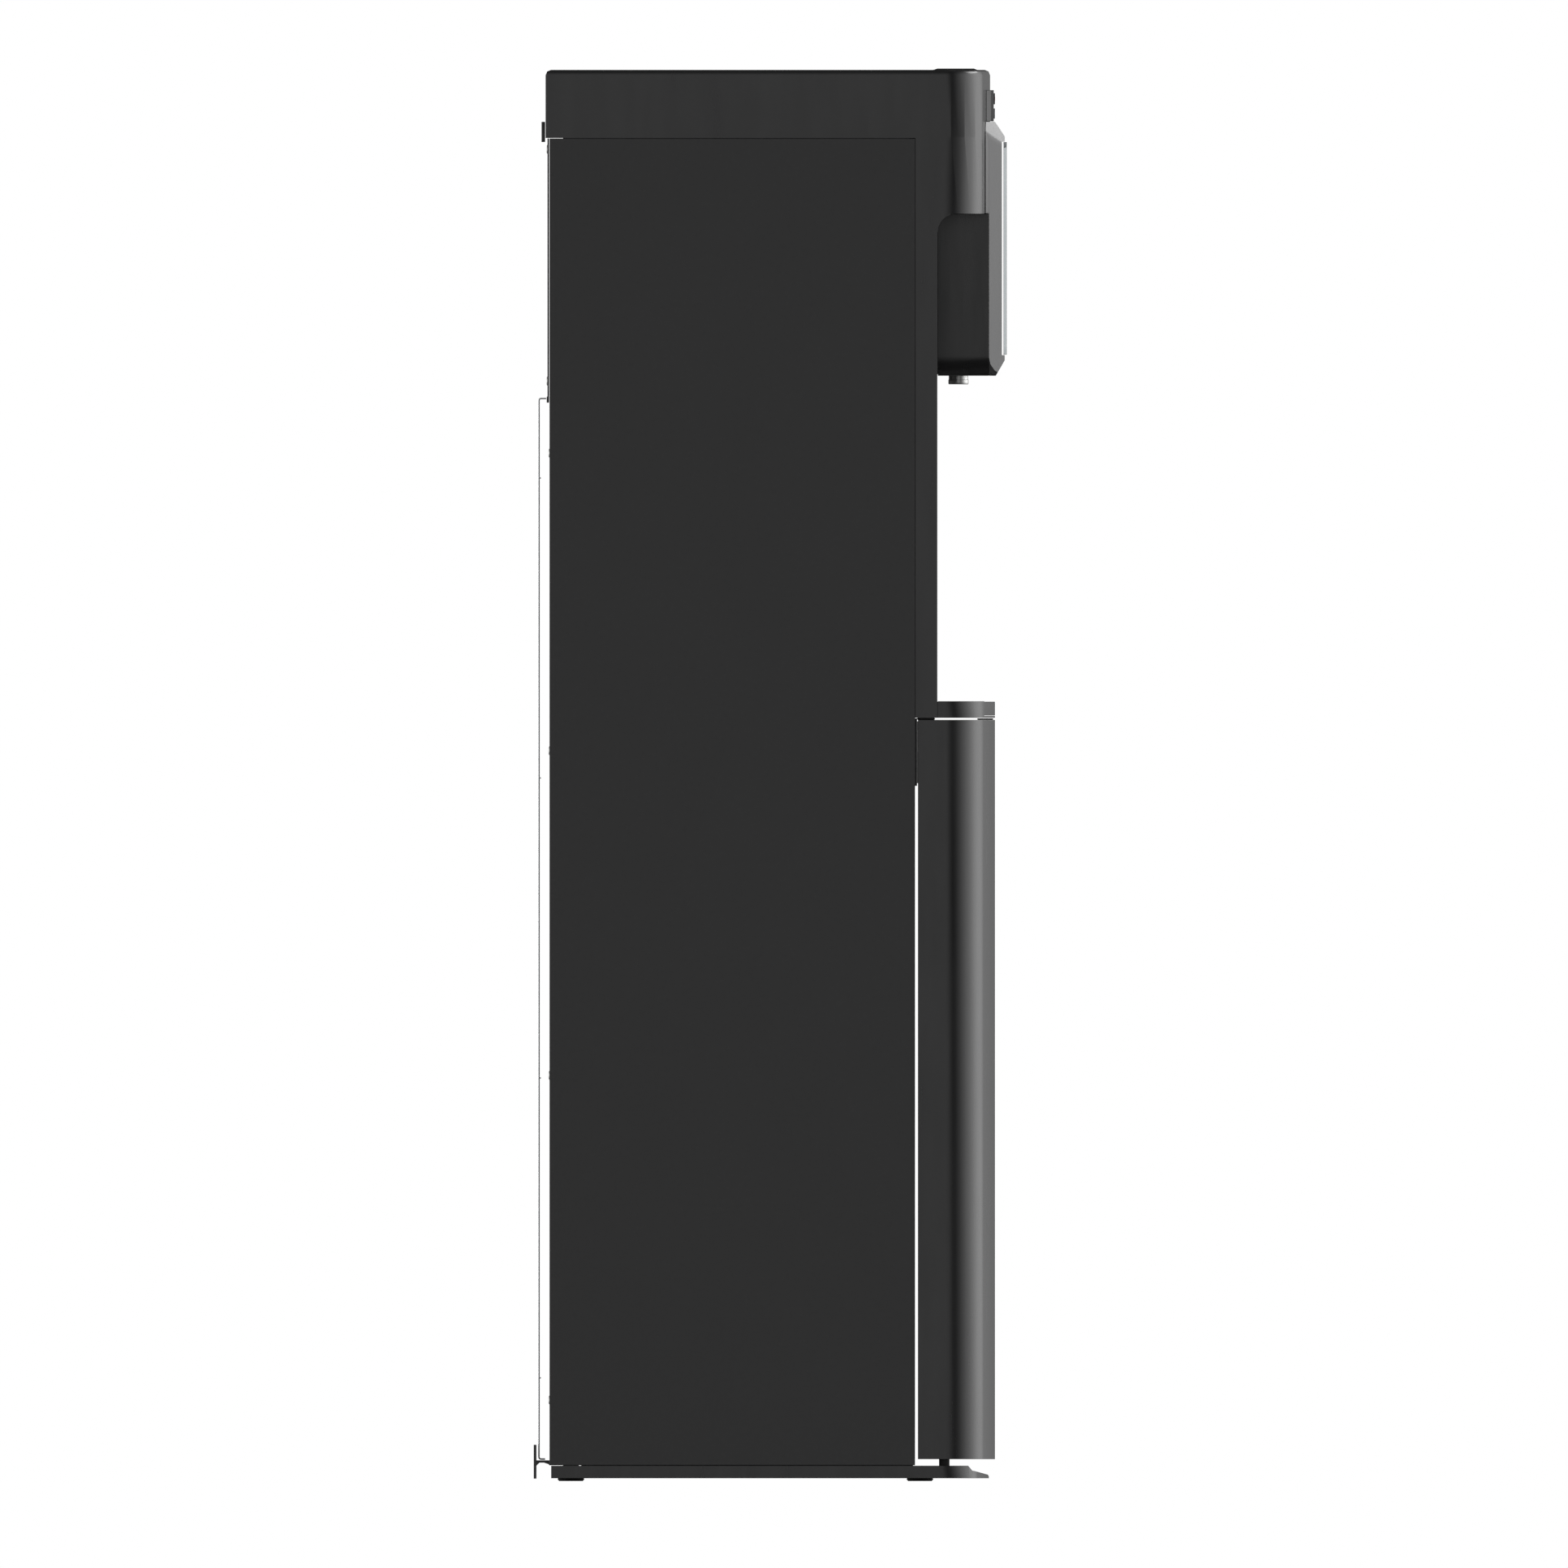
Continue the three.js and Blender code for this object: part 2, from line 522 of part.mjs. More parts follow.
function basePan() {
  const frontY = DOOR_FRONT_Y + BASE_LIP_REACH;
  const rearY = REAR_Y - 2 * BASE_INSET;
  const noseY = frontY + BASE_NOSE_DEPTH;
  const sideProfile = [
    [rearY, FLOOR_CLEARANCE], [frontY, FLOOR_CLEARANCE],
    [frontY + BASE_NOSE_TOE.back, FLOOR_CLEARANCE + BASE_NOSE_TOE.rise],
    [frontY + BASE_NOSE_RAMP.back, BASE_TOP - BASE_NOSE_RAMP.drop],
    [noseY - BASE_NOSE_STEP.back, BASE_TOP - BASE_NOSE_STEP.drop], [noseY, BASE_TOP],
    [rearY, BASE_TOP],
  ];
  const shell = common(
    upright(plan(rearY, frontY, DOOR_BOW_RISE, -BASE_INSET), FLOOR_CLEARANCE - 1, BASE_TOP + 1),
    across(sideProfile, -HALF, HALF));
  const hollow = block(
    -HALF + BASE_RIM, HALF - BASE_RIM, FOOT_FRONT_Y - FOOT_DIAMETER, rearY - MOULDED_WALL,
    FLOOR_CLEARANCE - 1, BASE_TOP - MOULDED_WALL);
  const frontHollow = block(-HALF + BASE_NOSE_RIM, HALF - BASE_NOSE_RIM,
    noseY + MOULDED_WALL, FOOT_FRONT_Y - FOOT_DIAMETER + 1,
    FLOOR_CLEARANCE - 1, BASE_TOP - MOULDED_WALL);
  const stemHoles = footPlaces().map(([, x, y]) => cylinder(
    x, y, FOOT_STEM_DIAMETER / 2 + FIT, FLOOR_CLEARANCE, BASE_TOP + 1));
  const pinHole = cylinder(HINGE_X, HINGE_Y, LOWER_PIN_DIAMETER / 2 + FIT,
    FLOOR_CLEARANCE - 1, BASE_TOP + 1);
  const lips = [
    [PANEL_FRONT_Y + SHEET + FIT, SHELF_REAR_Y], [RECESS_Y + FIT, REAR_Y - REAR_FLANGE],
  ].flatMap(([y0, y1]) => sideLips(y0, y1, BASE_TOP - 1, BASE_TOP + LIP_REACH));
  return join(cut(shell, hollow, frontHollow, pinHole, ...stemHoles), ...lips);
}

/** Ribs just inside both side panels, which cover the joint along the panels' edges. */
function sideLips(y0, y1, z0, z1) {
  const outer = HALF - SHEET - FIT;
  return [
    block(outer - LIP_THICKNESS, outer, y0, y1, z0, z1),
    block(-outer, -outer + LIP_THICKNESS, y0, y1, z0, z1),
  ];
}

function footPlaces() {
  const x = HALF - FOOT_SIDE_INSET;
  return [
    ['foot_front_left', -x, FOOT_FRONT_Y], ['foot_front_right', x, FOOT_FRONT_Y],
    ['foot_rear_left', -x, FOOT_REAR_Y], ['foot_rear_right', x, FOOT_REAR_Y],
  ];
}

function foot() {
  const pad = FOOT_DIAMETER / 2;
  const stem = FOOT_STEM_DIAMETER / 2;
  return turned([
    [0, 0], [pad - FOOT_CHAMFER.width, 0], [pad, FOOT_CHAMFER.height], [pad, FOOT_PAD],
    [stem, FOOT_PAD], [stem, BASE_TOP - FIT], [0, BASE_TOP - FIT],
  ]);
}

/** Stands the machine off the wall: an upright bar on a short arched arm. */
function wallSpacer() {
  const bottom = FLOOR_CLEARANCE - FIT;
  const outer = REAR_Y + SPACER_STANDOFF;
  const inner = outer - SPACER_THICKNESS;
  const root = REAR_Y - FIT;
  const armTop = SPACER_ARM_Z + SPACER_ARM_THICKNESS / 2;
  const armBottom = SPACER_ARM_Z - SPACER_ARM_THICKNESS / 2;
  const haunch = SPACER_HAUNCH;
  return across([
    [outer, bottom], [outer, bottom + SPACER_HEIGHT], [inner, bottom + SPACER_HEIGHT], [inner, armTop],
    [root, armTop], [root, armBottom - haunch], [root + haunch / 2, armBottom - haunch / 2],
    [root + 2 * haunch, armBottom], [inner - haunch, armBottom], [inner, armBottom - haunch],
    [inner, bottom],
  ], -SPACER_WIDTH / 2, SPACER_WIDTH / 2);
}

// ---------- cabinet sheet metal ----------

/** Side sheet with inward folds along its front and rear edges; side is -1 (left) or 1 (right). */
function sidePanel(side) {
  const outline = [
    [HALF, REAR_Y], [HALF, PANEL_FRONT_Y], [HALF - FRONT_FLANGE, PANEL_FRONT_Y],
    [HALF - FRONT_FLANGE, PANEL_FRONT_Y + SHEET], [HALF - SHEET, PANEL_FRONT_Y + SHEET],
    [HALF - SHEET, REAR_Y - SHEET], [HALF - REAR_FLANGE, REAR_Y - SHEET],
    [HALF - REAR_FLANGE, REAR_Y],
  ];
  return upright(outline.map(([x, y]) => [side * x, y]), BASE_TOP + FIT, SEAM - FIT);
}

function backPanelUpper() {
  const inner = REAR_Y + FIT;
  const outer = inner + SHEET;
  const sheet = across([
    [inner, BACK_SPLIT], [outer + HEM_PROUD, BACK_SPLIT], [outer + HEM_PROUD, BACK_SPLIT + HEM_HEIGHT],
    [outer, BACK_SPLIT + HEM_HEIGHT + 1], [outer, SEAM - FIT], [inner, SEAM - FIT],
  ], -HALF + BASE_INSET, HALF - BASE_INSET);
  const lap = SWITCH_PLATE_LAP;
  const switchWindow = block(
    SWITCH_X - SWITCH_PLATE_HALF_WIDTH + lap, SWITCH_X + SWITCH_PLATE_HALF_WIDTH - lap,
    inner - 1, outer + 1,
    SWITCH_Z - SWITCH_PLATE_HALF_HEIGHT + lap, SWITCH_Z + SWITCH_PLATE_HALF_HEIGHT - lap);
  return cut(sheet, switchWindow);
}

/** Recessed back sheet that the condenser lies in, folded rearwards along its top. */
function backPanelLower() {
  const front = RECESS_Y - SHEET;
  const foldTop = BACK_SPLIT - SHEET;
  const foldRear = REAR_Y - SHEET - FIT;
  const sheet = across([
    [front, BASE_TOP + FIT], [RECESS_Y, BASE_TOP + FIT], [RECESS_Y, foldTop - SHEET],
    [foldRear, foldTop - SHEET], [foldRear, foldTop], [front, foldTop],
  ], -HALF + SHEET + FIT, HALF - SHEET - FIT);
  const louvres = Array.from({ length: LOUVRES }, (_, row) => {
    const z = SHELF_Z + LOUVRE_RISE + row * LOUVRE_PITCH;
    return block(-LOUVRE_WIDTH / 2, LOUVRE_WIDTH / 2, front - 1, RECESS_Y + 1, z, z + LOUVRE_HEIGHT);
  });
  const serviceHole = (x, diameter) => cylinder(0, 0, diameter / 2 + FIT, -5, 5)
    .rotateX(-Math.PI / 2).translate(x, RECESS_Y - SHEET / 2, SERVICE_Z);
  return cut(sheet, ...louvres,
    serviceHole(SERVICE_X, INLET_DIAMETER), serviceHole(-SERVICE_X, DRAIN_PIPE_DIAMETER));
}

/** Rail across the top of the bay, with a thin lip that reaches over the door's top edge. */
function crossRail() {
  const left = HINGE_X + RAIL_END_GAP;
  const right = HALF - FRONT_FLANGE - FIT;
  const rearY = PANEL_FRONT_Y + RAIL_DEPTH;
  const tabY = PANEL_FRONT_Y + SHEET + FIT;
  const channel = cut(
    block(left, right, RAIL_FRONT_Y, rearY, RAIL_BOTTOM, RAIL_TOP),
    block(left + LINER_WALL, right - LINER_WALL, RAIL_FRONT_Y + LINER_WALL, rearY + 1,
      RAIL_BOTTOM + LINER_WALL, RAIL_TOP - LINER_WALL));
  const [tabInner, tabOuter] = [right - RAIL_TAB_LAP, HALF - BAY_SIDE_GAP];
  const tabs = [[-tabOuter, -tabInner], [tabInner, tabOuter]].map(([x0, x1]) => block(
    x0, x1, tabY, tabY + LINER_WALL, RAIL_BOTTOM, RAIL_TOP));
  const lip = block(left + RAIL_LIP_INSET, right, PANEL_FRONT_Y - RAIL_LIP_REACH, RAIL_FRONT_Y + 1,
    RAIL_TOP - RAIL_LIP_THICKNESS, RAIL_TOP);
  return join(channel, lip, ...tabs);
}

/** Cutter for the hole that lets the probe's hose through a sheet at the given height. */
const hoseHole = (z) => cylinder(
  PROBE_X, PROBE_Y, HOSE_DIAMETER / 2 + HOSE_HOLE_MARGIN, z - 5, z + 5, 12);

/** Open-fronted box round the bottle: two sides, a back and a ceiling. */
function bayLiner() {
  const outerX = HALF - BAY_SIDE_GAP;
  const frontY = PANEL_FRONT_Y + SHEET + FIT;
  return cut(
    block(-outerX, outerX, frontY, BAY_REAR_Y, BASE_TOP + FIT, BAY_CEILING),
    block(-outerX + LINER_WALL, outerX - LINER_WALL, frontY - 1, BAY_REAR_Y - LINER_WALL,
      BASE_TOP - 1, BAY_CEILING - LINER_WALL),
    hoseHole(BAY_CEILING));
}

function bayFloor() {
  const edgeX = HALF - BAY_SIDE_GAP - LINER_WALL - FIT;
  const z0 = BASE_TOP + FIT;
  return cut(
    block(-edgeX, edgeX, PANEL_FRONT_Y + SHEET + FIT, BAY_REAR_Y - LINER_WALL - FIT,
      z0, z0 + BAY_FLOOR_THICKNESS),
    cylinder(0, BOTTLE_Y, BOTTLE_DIAMETER / 2 + BOTTLE_CLEARANCE,
      z0 + BAY_FLOOR_THICKNESS - BOTTLE_RECESS_DEPTH, z0 + BAY_FLOOR_THICKNESS + 1, 40));
}

/** Shelf plate with its front and rear edges turned up. */
function shelf(z, holes) {
  const edgeX = HALF - SHEET - FIT;
  const plate = join(
    block(-edgeX, edgeX, SHELF_FRONT_Y, SHELF_REAR_Y, z, z + LINER_WALL),
    block(-edgeX, edgeX, SHELF_FRONT_Y, SHELF_FRONT_Y + LINER_WALL, z, z + SHELF_EDGE),
    block(-edgeX, edgeX, SHELF_REAR_Y - LINER_WALL, SHELF_REAR_Y, z, z + SHELF_EDGE));
  return holes.length ? cut(plate, ...holes) : plate;
}

// ---------- upper housing ----------

/** The fascia as a filled volume, grown all round, used to shape whatever lies on its front. */
const fasciaVolume = (grow) => upright(
  plan(0, FASCIA_FRONT_Y, FASCIA_BOW_RISE, grow), FASCIA_BOTTOM - grow, TOP + grow);

function roundedCap() {
  const flat = new THREE.ExtrudeGeometry(
    shapeOf(plan(COVER_REAR_Y, FASCIA_FRONT_Y, FASCIA_BOW_RISE)), {
      depth: COVER_SKIRT,
      bevelEnabled: true,
      bevelThickness: TOP_ROUNDING,
      bevelSize: TOP_ROUNDING,
      bevelOffset: -TOP_ROUNDING,
      bevelSegments: 2,
    }).translate(0, 0, TOP - COVER_SKIRT - TOP_ROUNDING);
  return cut(flat, block(-HALF - 1, HALF + 1, -2 * HALF, 2 * HALF, SEAM - 20, SEAM));
}

function upperHousing() {
  const wall = MOULDED_WALL;
  const frame = block(-HALF, HALF, ALCOVE_Y, FRAME_REAR_Y, TIER_BOTTOM, FASCIA_BOTTOM + 1);
  const fascia = upright(
    plan(FRAME_REAR_Y, FASCIA_FRONT_Y, FASCIA_BOW_RISE), FASCIA_BOTTOM, SEAM + 1);
  const fillet = common(
    across([
      [ALCOVE_Y + 1, FASCIA_BOTTOM + 1], [ALCOVE_Y + 1, FASCIA_BOTTOM - COVE],
      ...arc(ALCOVE_Y - COVE, FASCIA_BOTTOM - COVE, COVE, 0, Math.PI / 2, 5),
      [ALCOVE_Y - COVE, FASCIA_BOTTOM + 1],
    ], -HALF, HALF),
    upright(plan(0, FASCIA_FRONT_Y, FASCIA_BOW_RISE), FASCIA_BOTTOM - COVE - 1, FASCIA_BOTTOM + 2));
  const crown = common(
    across([
      [ALCOVE_Y + CROWN_REAR_SLOPE, TOP - 1], [ALCOVE_Y, TOP + CROWN_HEIGHT],
      [FASCIA_FRONT_Y + CROWN_FRONT.inset, TOP + CROWN_HEIGHT],
      [FASCIA_FRONT_Y + CROWN_FRONT.inset - CROWN_FRONT.slope, TOP - 1],
    ], -HALF + CORNER_RADIUS, HALF - CORNER_RADIUS),
    upright(plan(0, FASCIA_FRONT_Y, FASCIA_BOW_RISE, -CROWN_FRONT.side), TOP - 2, TOP + 2));
  const tongueX = HALF - FRONT_FLANGE - FIT;
  const tongues = [-tongueX, tongueX - LIP_THICKNESS].map((x) => block(
    x, x + LIP_THICKNESS, FRAME_REAR_Y - 1, FRAME_REAR_Y + LIP_REACH, TIER_BOTTOM, SEAM + 1));
  const outer = join(roundedCap(), fascia, frame, fillet, crown);
  const capHollow = upright(
    plan(COVER_REAR_Y - wall, FASCIA_FRONT_Y, FASCIA_BOW_RISE, -wall), SEAM - 1, TOP - wall);
  const fasciaHollow = upright(
    plan(FRAME_REAR_Y + 1, FASCIA_FRONT_Y, FASCIA_BOW_RISE, -wall), FASCIA_BOTTOM + wall, SEAM);
  const frameWindow = block(-HALF + FRAME_SIDE, HALF - FRAME_SIDE, ALCOVE_Y - 20, FRAME_REAR_Y + 1,
    TIER_TOP + FIT, FRAME_WINDOW_TOP);
  const spoutRoom = block(-HEAD_WIDTH / 2 - FIT, HEAD_WIDTH / 2 + FIT, SPOUT_FRONT_Y - 5,
    ALCOVE_Y + 1, SPOUT_BOTTOM, FASCIA_BOTTOM);
  const controlWindow = block(
    -BEZEL_WIDTH / 2 + WINDOW_MARGIN, BEZEL_WIDTH / 2 - WINDOW_MARGIN, FASCIA_FRONT_Y - 5,
    FASCIA_FRONT_Y + 10, BEZEL_BOTTOM + WINDOW_MARGIN, BEZEL_TOP - WINDOW_MARGIN);
  const shell = cut(
    outer, capHollow, fasciaHollow, frameWindow, spoutRoom, controlWindow, ...ledgeTongues(FIT));
  const lips = sideLips(FRAME_REAR_Y + LIP_REACH, REAR_Y - REAR_FLANGE, SEAM - LIP_REACH, SEAM + 1);
  return join(shell, ...tongues, ...lips);
}

/** Tongues behind the ledge that enter the frame's feet; a margin turns them into their sockets. */
function ledgeTongues(margin) {
  const middleX = HALF - FRAME_SIDE / 2;
  return [-middleX, middleX].map((x) => block(
    x - LIP_THICKNESS - margin, x + LIP_THICKNESS + margin,
    ALCOVE_Y - 1, ALCOVE_Y + LIP_REACH + margin,
    TIER_BOTTOM - margin, TIER_TOP - FIT + margin));
}

/** Ledge under the alcove, standing out over the door, with the open-fronted seat of the drip tray. */
function dripLedge() {
  const half = TRAY_WIDTH / 2 + FIT;
  const seat = block(-half, half, DOOR_FRONT_Y - 5, ALCOVE_Y, TIER_BOTTOM + TRAY_FLOOR, TIER_TOP + 1);
  const solid = upright(plan(ALCOVE_Y - FIT, DOOR_FRONT_Y, DOOR_BOW_RISE), TIER_BOTTOM, TIER_TOP);
  return join(cut(solid, seat), ...ledgeTongues(0));
}

function splashPanel() {
  const frontY = ALCOVE_Y + 2 * FIT;
  return block(-HALF + FRAME_SIDE + FIT, HALF - FRAME_SIDE - FIT, frontY, frontY + SPLASH_THICKNESS,
    TIER_TOP + 2 * FIT, FRAME_WINDOW_TOP - FIT);
}

function spoutHousing() {
  const half = HEAD_WIDTH / 2;
  const rearY = ALCOVE_Y - FIT;
  const corner = SPOUT_CORNER;
  const frontView = [
    ...arc(-half + corner, SPOUT_BOTTOM + corner, corner, Math.PI, 1.5 * Math.PI, 4),
    ...arc(half - corner, SPOUT_BOTTOM + corner, corner, 1.5 * Math.PI, 2 * Math.PI, 4),
    [half, FASCIA_BOTTOM - FIT], [-half, FASCIA_BOTTOM - FIT],
  ];
  const hollow = block(-half + corner, half - corner, SPOUT_FRONT_Y + SPOUT_WALL, rearY + 1,
    SPOUT_BOTTOM + SPOUT_WALL, FASCIA_BOTTOM - SPOUT_WALL - FIT);
  const nozzleHoles = nozzlePlaces().map(([, x]) => cylinder(
    x, NOZZLE_Y, NOZZLE_DIAMETER / 2 + FIT, SPOUT_BOTTOM - 1, SPOUT_BOTTOM + 5));
  const lampSlot = block(-NIGHT_LIGHT.halfWidth - FIT, NIGHT_LIGHT.halfWidth + FIT,
    SPOUT_FRONT_Y + NIGHT_LIGHT.front - FIT, SPOUT_FRONT_Y + NIGHT_LIGHT.front + NIGHT_LIGHT.depth + FIT,
    SPOUT_BOTTOM - 1, SPOUT_BOTTOM + 5);
  return cut(deep(frontView, SPOUT_FRONT_Y, rearY), hollow, lampSlot, ...nozzleHoles);
}

function nightLightLens() {
  const y = SPOUT_FRONT_Y + NIGHT_LIGHT.front;
  return block(-NIGHT_LIGHT.halfWidth, NIGHT_LIGHT.halfWidth, y, y + NIGHT_LIGHT.depth,
    SPOUT_BOTTOM + FIT, SPOUT_BOTTOM + FIT + NIGHT_LIGHT.thickness);
}

function nozzlePlaces() {
  return [
    ['nozzle_hot', -NOZZLE_PITCH], ['nozzle_room', 0], ['nozzle_cold', NOZZLE_PITCH],
  ];
}

/** Spout with a flange that rests inside the housing; its tip is at z = 0. */
function nozzle() {
  const outer = NOZZLE_DIAMETER / 2;
  const bore = NOZZLE_BORE / 2;
  const tail = outer - 1.5;
  const flangeRadius = outer + NOZZLE_FLANGE_REACH;
  const flangeBottom = NOZZLE_DROP + SPOUT_WALL + FIT;
  const flangeTop = flangeBottom + NOZZLE_FLANGE_THICKNESS;
  const top = flangeBottom + NOZZLE_TAIL;
  return turned([
    [bore, 0], [outer - 0.6, 0], [outer, 0.8], [outer, flangeBottom], [flangeRadius, flangeBottom],
    [flangeRadius, flangeTop], [tail, flangeTop], [tail, top], [bore, top], [bore, 0],
  ], NOZZLE_SIDES);
}

/** Wedge that takes one upper corner off the shield; side is -1 or 1. */
function shoulderCutter(side, rearY, top) {
  const outward = new THREE.Vector3(
    side * SHOULDER_NORMAL.outward, -SHOULDER_NORMAL.forward, SHOULDER_NORMAL.upward).normalize();
  const turn = new THREE.Quaternion().setFromUnitVectors(new THREE.Vector3(0, 0, 1), outward);
  const size = SHIELD_WIDTH / 2;
  return new THREE.BoxGeometry(size, size, size).translate(0, 0, size / 2).applyQuaternion(turn)
    .translate((side * SHIELD_WIDTH) / 2, rearY, top - SHOULDER_DROP);
}

/** Front control shield: a stepped profile that carries the glass, its sides sloping in at 45 degrees. */
function headShield() {
  const half = SHIELD_WIDTH / 2;
  const rearY = SPOUT_FRONT_Y - FIT;
  const backY = rearY + SHIELD_LAP;
  const glassBottom = SPOUT_BOTTOM + GLASS_BOTTOM_RISE;
  const glassTop = TOP - GLASS_TOP_DROP;
  const top = BEZEL_BOTTOM - FIT;
  const profile = [
    [backY, SPOUT_BOTTOM], [SHIELD_FRONT_Y + SHIELD_TOE.back, SPOUT_BOTTOM],
    [SHIELD_FRONT_Y, SPOUT_BOTTOM + SHIELD_TOE.rise],
    [SHIELD_FRONT_Y, glassBottom - FIT], [SHIELD_FACE_Y, glassBottom - FIT],
    [SHIELD_FACE_Y, glassTop + FIT], [SHIELD_FRONT_Y, glassTop + FIT],
    [SHIELD_FRONT_Y, glassTop + SHIELD_BROW], [BUTTON_FRONT_Y, top], [backY, top],
  ];
  const corner = SHIELD_CORNER;
  const frontView = [
    ...arc(-half + corner, SPOUT_BOTTOM + corner, corner, Math.PI, 1.5 * Math.PI, 4),
    ...arc(half - corner, SPOUT_BOTTOM + corner, corner, 1.5 * Math.PI, 2 * Math.PI, 4),
    [half, top], [-half, top],
  ];
  const slope = rearY - SHIELD_FRONT_Y;
  const planView = [
    [half, backY], [-half, backY], [-half, rearY], [-half + slope, SHIELD_FRONT_Y],
    [half - slope, SHIELD_FRONT_Y], [half, rearY],
  ];
  const solid = common(
    across(profile, -half, half), deep(frontView, SHIELD_FRONT_Y - 1, backY + 1),
    upright(planView, SPOUT_BOTTOM - 1, top + 1));
  const spoutBehind = block(-HALF, HALF, rearY, backY + 2, SPOUT_BOTTOM - 1, FASCIA_BOTTOM);
  return cut(solid, fasciaVolume(FIT), spoutBehind,
    shoulderCutter(-1, rearY, top), shoulderCutter(1, rearY, top));
}

function displayGlass() {
  const half = SHIELD_WIDTH / 2 - (SPOUT_FRONT_Y - FIT - SHIELD_FACE_Y) - GLASS_SIDE_INSET;
  const bottom = SPOUT_BOTTOM + GLASS_BOTTOM_RISE;
  const top = TOP - GLASS_TOP_DROP;
  return deep(rounded(-half, half, bottom, top, GLASS_CORNER), GLASS_FRONT_Y, GLASS_REAR_Y);
}

// ---------- controls ----------

/** Name, centre and width of each button, set out from the left end of the row. */
function buttonPlaces() {
  const row = [
    ['button_hot', BUTTON_WIDTH], ['button_room', BUTTON_WIDTH],
    ['button_cold', BUTTON_WIDTH], ['button_lock', LOCK_WIDTH],
  ];
  let edge = -BUTTON_ROW_WIDTH / 2;
  return row.map(([name, width]) => {
    const x = edge + width / 2;
    edge += width + BUTTON_GAP;
    return [name, x, width];
  });
}

function buttonBezel() {
  const half = BEZEL_WIDTH / 2;
  const frontY = BUTTON_FRONT_Y + BUTTON_PROUD;
  const rearY = FASCIA_FRONT_Y + PLUG_DEPTH;
  const face = cut(
    block(-half, half, frontY, rearY, BEZEL_BOTTOM, BEZEL_TOP), fasciaVolume(FIT));
  const inset = WINDOW_MARGIN + FIT;
  const plug = block(-half + inset, half - inset, frontY + 1, rearY,
    BEZEL_BOTTOM + inset, BEZEL_TOP - inset);
  const windows = buttonPlaces().map(([, x, width]) => block(
    x - width / 2 - BUTTON_CLEARANCE, x + width / 2 + BUTTON_CLEARANCE, frontY - 1, rearY + 1,
    BUTTON_ROW_Z - BUTTON_HEIGHT / 2 - BUTTON_CLEARANCE / 2,
    BUTTON_ROW_Z + BUTTON_HEIGHT / 2 + BUTTON_CLEARANCE / 2));
  const groove = block(-INDICATOR_HALF_WIDTH - FIT, INDICATOR_HALF_WIDTH + FIT, frontY - 1, frontY + 2,
    INDICATOR_ROW_Z - INDICATOR_HEIGHT / 2 - FIT, INDICATOR_ROW_Z + INDICATOR_HEIGHT / 2 + FIT);
  return cut(join(face, plug), groove, ...windows);
}

/** Push button about its own face centre, with a wider foot that keeps it behind the bezel. */
function pushButton(width) {
  const half = width / 2;
  const z = BUTTON_HEIGHT / 2;
  const footY = FASCIA_FRONT_Y + PLUG_DEPTH + FIT - BUTTON_FRONT_Y;
  return join(
    block(-half, half, 0, footY + 1, -z, z),
    block(-half - BUTTON_FOOT_REACH, half + BUTTON_FOOT_REACH, footY, footY + BUTTON_FOOT_THICKNESS, -z, z));
}

function indicatorBar() {
  return block(-INDICATOR_HALF_WIDTH, INDICATOR_HALF_WIDTH, BUTTON_FRONT_Y,
    BUTTON_FRONT_Y + BUTTON_PROUD + 2 - FIT,
    INDICATOR_ROW_Z - INDICATOR_HEIGHT / 2, INDICATOR_ROW_Z + INDICATOR_HEIGHT / 2);
}

/** Circuit board behind the buttons, with a switch can behind each of them. */
function controlBoard() {
  const y = FASCIA_FRONT_Y + PLUG_DEPTH + BOARD.standoff;
  const halfWidth = BEZEL_WIDTH / 2 - BOARD.sideInset;
  const board = block(-halfWidth, halfWidth, y, y + BOARD.thickness,
    BEZEL_BOTTOM - BOARD.below, BEZEL_TOP + BOARD.above);
  const cans = buttonPlaces().map(([, x]) => block(
    x - SWITCH_CAN.half, x + SWITCH_CAN.half, y - SWITCH_CAN.height, y + BOARD.thickness / 2,
    BUTTON_ROW_Z - SWITCH_CAN.half, BUTTON_ROW_Z + SWITCH_CAN.half));
  return join(board, ...cans);
}

// ---------- drip tray ----------

function dripTray() {
  const half = TRAY_WIDTH / 2;
  const rearY = ALCOVE_Y - TRAY_REAR_GAP;
  const z0 = TIER_BOTTOM + TRAY_FLOOR + FIT;
  const z1 = TIER_TOP - FIT;
  const body = common(
    block(-half, half, DOOR_FRONT_Y - 2, rearY, z0, z1),
    upright(plan(0, DOOR_FRONT_Y, DOOR_BOW_RISE), z0 - 1, z1 + 1));
  const basin = common(
    block(-half + TRAY_WALL, half - TRAY_WALL, DOOR_FRONT_Y - 2, rearY - TRAY_WALL,
      z0 + TRAY_FLOOR, z1 + 1),
    upright(plan(0, DOOR_FRONT_Y, DOOR_BOW_RISE, -TRAY_WALL), z0, z1 + 2));
  const ribTop = z1 - GRILLE_THICKNESS - FIT;
  const ribs = [-1, 1].map((side) => block(
    side * half / 2 - TRAY_RIB.halfWidth, side * half / 2 + TRAY_RIB.halfWidth,
    DOOR_FRONT_Y + TRAY_RIB.frontInset, rearY - TRAY_WALL / 2, z0 + TRAY_FLOOR / 2, ribTop));
  return join(cut(body, basin), ...ribs);
}

